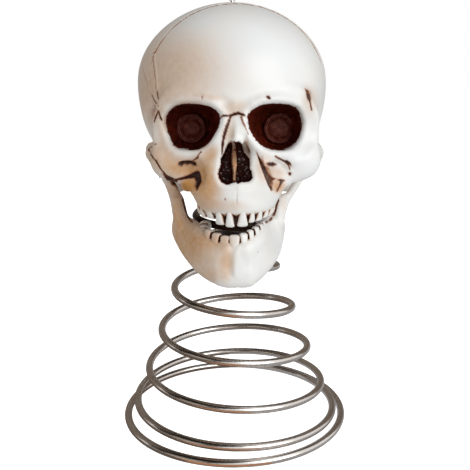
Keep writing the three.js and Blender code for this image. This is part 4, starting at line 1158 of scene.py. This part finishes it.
def closeToHeadMarks(p):
    # the marks, the seam, the patches and the sockets' edges
    seam = np.abs(seamGap(p)) * edgeWeight + np.where(p[:, 2] > seamShape["fadeFrom"], 0, 99)
    least = np.minimum(closeToMarks(p, headMarks), seam)
    across, down, scale = pixelsOf(p.T)
    for patch in headPatches.values():
        spots = np.array(patch["pixels"])
        near = (p[:, 1] < patchEdge["front"]) & roundOutline(across, down, spots)
        gap = np.maximum(0, outlineField(across[near], down[near], spots)) * scale[near]
        least[near] = np.minimum(least[near], gap)
    for side in (-1, 1):
        (middle, height), (wide, tall) = socketBox["at"], socketBox["half"]
        near = ((p[:, 1] < socketBox["front"]) & (np.abs(p[:, 0] - side * middle) < wide)
                & (np.abs(p[:, 2] - height) < tall))
        least[near] = np.minimum(least[near], np.abs(socketOpening(p[near].T, side)) * edgeWeight)
    return least


def buildHead():
    points, faces = fieldMesh(skullField, (-46.5, -57.5, 108.0), (46.5, 54.5, 201.0), headStep)
    bm = refined(points, faces, closeToHeadMarks, 1 if coarse else 2)
    points, moved, normals, paint = dressed(bm, skullField, headMarks, headPatches)
    h = headPaint
    # the seam between the shells
    seam = np.abs(seamGap(points))
    vault = smoothstep(seamShape["fadeFrom"], seamShape["fadeTo"], points[:, 2])
    lift = seamShape["height"] * np.exp(-(seam / seamShape["width"]) ** 2) * vault
    beside = smoothstep(seamShape["besideTo"], seamShape["besideFrom"] + 0.15, seam) * smoothstep(
        seamShape["besideFrom"] - 0.3, seamShape["besideFrom"], seam) * vault
    # dark paint inside the sockets and the nose
    noseGap = noseOpening(points.T)
    leftGap, rightGap = socketOpening(points.T, -1), socketOpening(points.T, 1)
    inside = np.minimum(np.where(points[:, 0] < 0, leftGap, rightGap), noseGap)
    sunkBy = -plainSkull(mirrored(points.T))
    cut = np.abs(noseField(points.T))
    for side in (-1, 1):
        here = (points[:, 0] < 0) == (side < 0)
        cut[here] = np.minimum(cut[here], np.abs(socketField(points[here].T, side)))
    deep = np.maximum(smoothstep(*h["opening"], inside) * smoothstep(*h["sunk"], sunkBy),
                      smoothstep(*h["farSunk"], sunkBy) * smoothstep(*h["onCut"], cut))
    deep = deep * smoothstep(*h["nearCut"], cut) * (points[:, 1] < h["deepFront"])
    deep = np.where(noseGap < 0, np.minimum(deep, h["noseMost"]), deep)
    # the sockets' inner walls, where they meet a gap in the plain skull
    (innerAt, innerY), (outerAt, outerY) = socketShape["rimInner"], socketShape["rimOuter"]
    across = np.abs(points[:, 0])
    behind = points[:, 1] - innerY - (outerY - innerY) * (across - innerAt) / (outerAt - innerAt)
    eyeGap = np.minimum(leftGap, rightGap)
    walls = (smoothstep(*h["wallGap"], eyeGap) * smoothstep(*h["wallBehind"], behind)
             * (across < h["wallAcross"]) * (points[:, 1] < h["wallFront"]))
    deep = np.maximum(deep, walls)
    septum = ((septumGap(points.T) < h["septumGap"]) * (inside < h["septumInside"])
              * (points[:, 1] < h["septumFront"]))
    deep = np.where(septum, 0, deep)
    # raised rims round the sockets and the nose
    facing = smoothstep(*h["facing"], points[:, 1])
    rim = np.exp(-((eyeGap - rimShape["eyeAt"]) / rimShape["eyeWidth"]) ** 2) * facing
    beyond = (eyeGap - rimShape["hollowAt"]) / rimShape["hollowWidth"]
    hollow = rimShape["hollow"] * np.exp(-beyond ** 2) * facing
    noseRim = np.exp(-((noseGap - rimShape["noseAt"]) / rimShape["noseWidth"]) ** 2) * facing
    lift = lift + rimShape["eyeHeight"] * rim
    lift = lift - hollow
    lift = lift + rimShape["noseHeight"] * noseRim
    moved = moved + normals * lift[:, None]
    moved[:, 1] = np.maximum(moved[:, 1], headFront)
    # brown wash and tan, with the painted shade of the patches and dabs
    wash, tan = shelterPaint(points, normals, paint, headWithTeeth, headDabs)
    wash = np.maximum(wash, beside * seamShape["besidePaint"])
    tan = tan * (1 - h["rimBare"] * np.maximum(rim, noseRim))
    wash = np.where(septum, h["septumWash"], wash)
    tan = np.where(septum, h["septumTan"], tan)
    # painted shade inside the mouth: the surfaces behind the upper teeth are darkened
    row = teethShape["upper"]
    archShare = np.hypot(points[:, 0] / row["across"], (points[:, 1] - row["middle"]) / row["along"])
    inMouth = smoothstep(*h["mouth"], archShare) * smoothstep(*h["mouthUnder"], points[:, 2])
    wash = np.maximum(wash, h["mouthShade"] * inMouth * (points[:, 1] < row["middle"] + h["mouthLength"]))
    for v, p in zip(bm.verts, moved):
        v.co = p
    return bm, {"wash": wash, "tan": tan, "deep": deep}


def splitHead(bm, layers, side, name):
    part = bm.copy()
    for key, values in layers.items():
        layer = part.verts.layers.float.new(key)
        part.verts.ensure_lookup_table()
        for v, value in zip(part.verts, values):
            v[layer] = float(value)
    bmesh.ops.bisect_plane(part, geom=part.verts[:] + part.edges[:] + part.faces[:],
                           plane_co=(0, seamShape["along"], 0),
                           plane_no=(-seamShape["turn"] * side, side, 0), clear_inner=True)
    border = [e for e in part.edges if e.is_boundary]
    filled = bmesh.ops.holes_fill(part, edges=border, sides=0)["faces"]
    bmesh.ops.triangulate(part, faces=filled)
    bmesh.ops.transform(part, matrix=Matrix.Translation(Vector(skullSetback)), verts=part.verts[:])
    bmesh.ops.scale(part, vec=(mm, mm, mm), verts=part.verts[:])
    mesh = bpy.data.meshes.new(name)
    part.to_mesh(mesh)
    part.free()
    obj = addObject(name, mesh, boneMaterial)
    deselectAll()
    obj.select_set(True)
    bpy.context.view_layer.objects.active = obj
    bpy.ops.object.shade_smooth_by_angle(angle=math.radians(60))
    return obj


headMesh, headLayers = buildHead()
faceShell = splitHead(headMesh, headLayers, -1, "faceShell")
rearShell = splitHead(headMesh, headLayers, 1, "rearShell")
headMesh.free()
print("stage: head shells,", len(faceShell.data.polygons), "and", len(rearShell.data.polygons), "faces")


# Jaw and teeth

def fieldPiece(name, field, low, high, step, marks, around, dabs):
    points, faces = fieldMesh(field, low, high, step)
    bm = refined(points, faces, lambda p: closeToMarks(p, marks), 1 if marks else 0)
    points, moved, normals, paint = dressed(bm, field, marks)
    wash, tan = shelterPaint(points, normals, paint, around, dabs)
    for v, p in zip(bm.verts, moved):
        v.co = (Vector(p) + Vector(skullSetback)) * mm
    mesh = bpy.data.meshes.new(name)
    bm.to_mesh(mesh)
    bm.free()
    # the wash layer holds the antiquing wash and the painted shade
    for key, values in (("wash", wash), ("tan", tan), ("deep", np.zeros(len(points)))):
        writeAttribute(mesh, key, values)
    return addObject(name, mesh, boneMaterial)


jawPiece = fieldPiece("movingJaw", jawField, (-35.5, -57.5, 77.5), (35.5, 0.5, 128.5), jawStep, jawMarks,
                      jawWithTeeth, jawDabs)
upperTeeth = fieldPiece("upperTeeth", lambda p: teethField(p, teethShape["upper"]),
                        (-22, -58, 101), (22, -24, 119), toothStep, {}, headWithTeeth, headDabs)
lowerTeeth = fieldPiece("lowerTeeth", lowerTeethField,
                        (-22, -57, 89), (22, -24, 106), toothStep, {}, jawWithTeeth, jawDabs)
print("stage: jaw and teeth")


# Eye discs

discShape = {"at": [18.9, -27.0, 142.9], "segments": 56,
             # radius and height of each ring from the outside in, in millimetres
             "rings": {-1: [(6.3, 0), (6.3, 0.7), (6, 1), (5.5, 1), (5.2, 0.5), (4.6, 0.4), (4.1, 1.1),
                            (3.7, 1.5),
                            (3.2, 1.7), (2.4, 1.9), (1.4, 2), (0.6, 2)],
                       1: [(6.5, 0), (6.5, 0.7), (6.2, 1), (5.8, 1), (5.5, 0.4), (4.9, 0.3), (4.6, 0.5),
                           (4.3, 0.9),
                           (3.6, 1.1), (2.6, 1.3), (1.4, 1.4), (0.6, 1.4)]},
             "waver": {-1: 0.14, 1: 0.05}}


def eyeDisc(name, side):
    # turned rings round a middle, a little out of round as the cast shows
    s = discShape
    count = s["segments"]
    centre = np.array([side * s["at"][0], s["at"][1] + skullSetback[1], s["at"][2]])
    points, faces = [], []
    for radius, height in s["rings"][side]:
        for n in range(count):
            angle = 2 * math.pi * n / count
            out = radius * (1 - s["waver"][side] * height * math.sin(angle) ** 2 * (radius < 5))
            points.append((centre + [out * math.cos(angle), -height, out * math.sin(angle)]) * mm)
    rings = len(s["rings"][side])
    for r in range(rings - 1):
        for n in range(count):
            a, b = r * count + n, r * count + (n + 1) % count
            faces.append((a, a + count, b + count, b))
    for r, turn in ((0, 1), (rings - 1, -1)):
        faces.append(tuple(range(r * count, (r + 1) * count))[::turn])
    disc = meshObject(name, points, faces, discMaterial)
    spots = np.array([v.co for v in disc.data.vertices]) / mm - centre
    for key, axis in (("discAcross", 0), ("discUp", 2)):
        writeAttribute(disc.data, key, spots[:, axis])
    return disc


leftDisc = eyeDisc("leftEyeDisc", -1)
rightDisc = eyeDisc("rightEyeDisc", 1)
print("stage: eye discs")


# Spring

# The shares say how the wire rises and narrows, as powers of the way along it. They are the rounded result of
# a least-squares fit to the photograph's turns, as are "top", "rise", "footTurns" and both leans.
springShape = {"wire": 3.6, "base": 111.03, "top": 28.3, "rise": 100.4, "turns": 6.7, "footTurns": 0.606,
               "startTurn": 0.17, "leanAcross": 3.5, "leanForward": 1.9, "setback": 1.2, "footFlat": 0.5,
               "riseShares": [0, 3.331, -4.78, 3.878, -1.429], "narrowShares": [0.485, 1.189, -0.674],
               "stepsPerTurn": 96, "sides": 20, "endRound": 0.5}


def springPoint(t):
    s = springShape
    power = lambda shares, at: sum(share * at ** (i + 1) for i, share in enumerate(shares))
    climb = max(0.0, (t * s["turns"] - s["footTurns"]) / (s["turns"] - s["footTurns"]))
    radius = (s["base"] + (s["top"] - s["base"]) * power(s["narrowShares"], t)) / 2
    angle = 2 * math.pi * (s["startTurn"] - t * s["turns"])
    return Vector((radius * math.cos(angle) - s["leanAcross"] * climb ** 2,
                   radius * math.sin(angle) - s["leanForward"] * climb + s["setback"],
                   s["wire"] / 2 - s["footFlat"] + s["rise"] * power(s["riseShares"], climb)))


def coneSpring():
    s = springShape
    steps = round(s["turns"] * s["stepsPerTurn"])
    spots = [springPoint(i / steps) for i in range(steps + 1)]
    ways = [(spots[min(i + 1, steps)] - spots[max(i - 1, 0)]).normalized() for i in range(steps + 1)]
    half = s["wire"] / 2
    # each end runs straight for one wire thickness, and its edge is rounded
    ends = [(s["wire"] - s["endRound"], 1), (s["wire"] - s["endRound"] * 0.4, 1 - s["endRound"] * 0.1),
            (s["wire"] - s["endRound"] * 0.1, 1 - s["endRound"] * 0.3), (s["wire"], 1 - s["endRound"] * 0.6)]
    stations = ([(spots[0] - ways[0] * off, ways[0], part) for off, part in reversed(ends)]
                + [(p, w, 1) for p, w in zip(spots, ways)]
                + [(spots[-1] + ways[-1] * off, ways[-1], part) for off, part in ends])
    points, faces = [], []
    for spot, way, part in stations:
        outward = Vector((way.y, -way.x, 0)).normalized()
        upward = outward.cross(way).normalized()
        if upward.z < 0:
            upward.negate()
        for n in range(s["sides"]):
            angle = 2 * math.pi * (n + 0.5) / s["sides"]
            p = spot + (outward * math.cos(angle) + upward * math.sin(angle)) * half * part
            p.z = max(p.z, 0)
            points.append(p * mm)
    sides = s["sides"]
    for r in range(len(stations) - 1):
        for n in range(sides):
            a, b = r * sides + n, r * sides + (n + 1) % sides
            faces.append((a, b, b + sides, a + sides))
    last = (len(stations) - 1) * sides
    faces.append(tuple(range(sides))[::-1])
    faces.append(tuple(range(last, last + sides)))
    obj = meshObject("coneSpring", points, faces, wireMaterial)
    # painted shade along the last stretch of the wire, inside the head
    along = np.repeat(np.arange(len(stations)) / len(stations), sides)
    writeAttribute(obj.data, "blued", smoothstep(steelFinish["paintedShadeFrom"], steelFinish["paintedShadeTo"], along))
    return obj


spring = coneSpring()
print("stage: spring")


# What rides on what

for piece, nodes, body in ((faceShell, ["face_shell"], "skull"), (rearShell, ["rear_shell"], "skull"),
                           (upperTeeth, [], "skull"), (jawPiece, ["jaw"], "jaw"), (lowerTeeth, [], "jaw"),
                           (leftDisc, ["left_eye_disc"], "skull"), (rightDisc, ["right_eye_disc"], "skull")):
    if nodes:
        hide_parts(*nodes)
    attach(piece, body)
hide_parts("cone_spring")
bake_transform(spring)

for nodeName, material in (("neck_block", neckMaterial), ("clamp_plate", neckMaterial),
                           ("clamp_screw", wireMaterial), ("crown_loop", wireMaterial),
                           ("left_jaw_pin", boneMaterial), ("right_jaw_pin", boneMaterial)):
    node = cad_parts[nodeName]
    node.data.materials.clear()
    node.data.materials.append(material)

# Studio

studio = {"keyPlace": (0.55, -0.75, 0.5), "keySize": 0.7, "keyPower": 5.0,
          "fillPlace": (-0.7, -0.6, 0.35), "fillSize": 0.6, "fillPower": 0.45, "worldLight": 0.5,
          "paper": 0.9, "floorSize": 6}


def areaLight(name, place, size, power, colour, aim=(0, 0, 0.13)):
    data = bpy.data.lights.new(name, "AREA")
    data.size = size
    data.energy = power
    data.color = colour
    lamp = bpy.data.objects.new(name, data)
    lamp.location = place
    lamp.rotation_euler = (Vector(place) - Vector(aim)).to_track_quat("Z", "Y").to_euler()
    bpy.context.collection.objects.link(lamp)


areaLight("keyLight", studio["keyPlace"], studio["keySize"], studio["keyPower"], (0.97, 0.98, 1.0))
areaLight("fillLight", studio["fillPlace"], studio["fillSize"], studio["fillPower"], (1.0, 0.9, 0.78))

# Flags round the object that only the gloss sees, as a photographer sets them for bright metal:
# turned from the camera's side towards +X and raised, in degrees, and how far off, in metres
cards = {
    "darkFlag": {"turn": -54, "raise": 48, "off": 1.0, "size": (1.7, 1.9), "colour": (0.016, 0.012, 0.01)},
    "lowWall": {"turn": 180, "raise": 18, "off": 1.2, "size": (3.0, 0.9), "colour": (0.2, 0.168, 0.14)},
    "overheadFlag": {"turn": 180, "raise": 62, "off": 1.0, "size": (2.4, 0.8),
                     "colour": (0.022, 0.016, 0.013)},
    "sideWallLeft": {"turn": -128, "raise": 28, "off": 1.0, "size": (0.9, 1.3),
                     "colour": (0.2, 0.165, 0.135)},
    "sideWallRight": {"turn": 138, "raise": 24, "off": 1.0, "size": (0.9, 1.3),
                      "colour": (0.17, 0.14, 0.118)},
}
floorCards = {
    "brownTable": {"place": (-0.42, -0.3, 0.0004), "size": (0.84, 1.2), "colour": (0.15, 0.116, 0.094)},
    "greyTable": {"place": (0.4, -0.3, 0.0004), "size": (0.8, 1.2), "colour": (0.4, 0.4, 0.41)},
    "copperTable": {"place": (-0.015, -0.2, 0.0007), "size": (0.06, 0.3), "colour": (0.5, 0.27, 0.16)},
}


def glossCard(name, place, size, colour, aim):
    deselectAll()
    bpy.ops.mesh.primitive_plane_add(size=1)
    plane = bpy.context.object
    plane.name = name
    plane.scale = (size[0], size[1], 1)
    bpy.ops.object.transform_apply(location=False, rotation=False, scale=True)
    plane.location = place
    if aim is not None:
        plane.rotation_euler = (Vector(aim) - Vector(place)).to_track_quat("Z", "Y").to_euler()
    cardMaterial, tree = newMaterial(name)
    light = addNode(tree, "ShaderNodeEmission", {"Color": colour + (1,), "Strength": 1.0})
    addNode(tree, "ShaderNodeOutputMaterial", {"Surface": (light, 0)})
    plane.data.materials.append(cardMaterial)
    plane.visible_camera = plane.visible_diffuse = plane.visible_shadow = plane.visible_transmission = False


for name, card in cards.items():
    turn, lift = math.radians(card["turn"]), math.radians(card["raise"])
    way = Vector((math.sin(turn) * math.cos(lift), -math.cos(turn) * math.cos(lift), math.sin(lift)))
    glossCard(name, way * card["off"], card["size"], card["colour"], (0, 0, 0.05))
for name, card in floorCards.items():
    glossCard(name, card["place"], card["size"], card["colour"], None)

world = bpy.data.worlds.new("whiteStudio")
world.use_nodes = True
bpy.context.scene.world = world
tree = world.node_tree
tree.nodes.clear()
rays = addNode(tree, "ShaderNodeLightPath")
seen = addNode(tree, "ShaderNodeMath", {0: (rays, "Is Camera Ray"), 1: (rays, "Is Glossy Ray")},
               operation="MAXIMUM")
level = addNode(tree, "ShaderNodeMapRange", {"Value": (seen, "Value"), "To Min": studio["worldLight"],
                                             "To Max": 1.0})
back = addNode(tree, "ShaderNodeBackground", {"Color": (1, 1, 1, 1), "Strength": (level, "Result")})
addNode(tree, "ShaderNodeOutputWorld", {"Surface": (back, "Background")})

deselectAll()
bpy.ops.mesh.primitive_plane_add(size=studio["floorSize"], location=(0, 0, 0))
floor = bpy.context.object
floor.name = "studioFloor"
# Matt white paper that also glows full white to the camera, which hides the object's shadow on it
floorMaterial, tree = newMaterial("whiteStudioFloor")
rays = addNode(tree, "ShaderNodeLightPath")
paper = addNode(tree, "ShaderNodeBsdfDiffuse", {"Color": (studio["paper"],) * 3 + (1,)})
glow = addNode(tree, "ShaderNodeEmission", {"Color": (1, 1, 1, 1), "Strength": (rays, "Is Camera Ray")})
both = addNode(tree, "ShaderNodeAddShader", {0: (paper, "BSDF"), 1: (glow, "Emission")})
addNode(tree, "ShaderNodeOutputMaterial", {"Surface": (both, 0)})
floor.data.materials.append(floorMaterial)

bpy.context.scene.view_settings.view_transform = "Standard"

print("stage: finished")
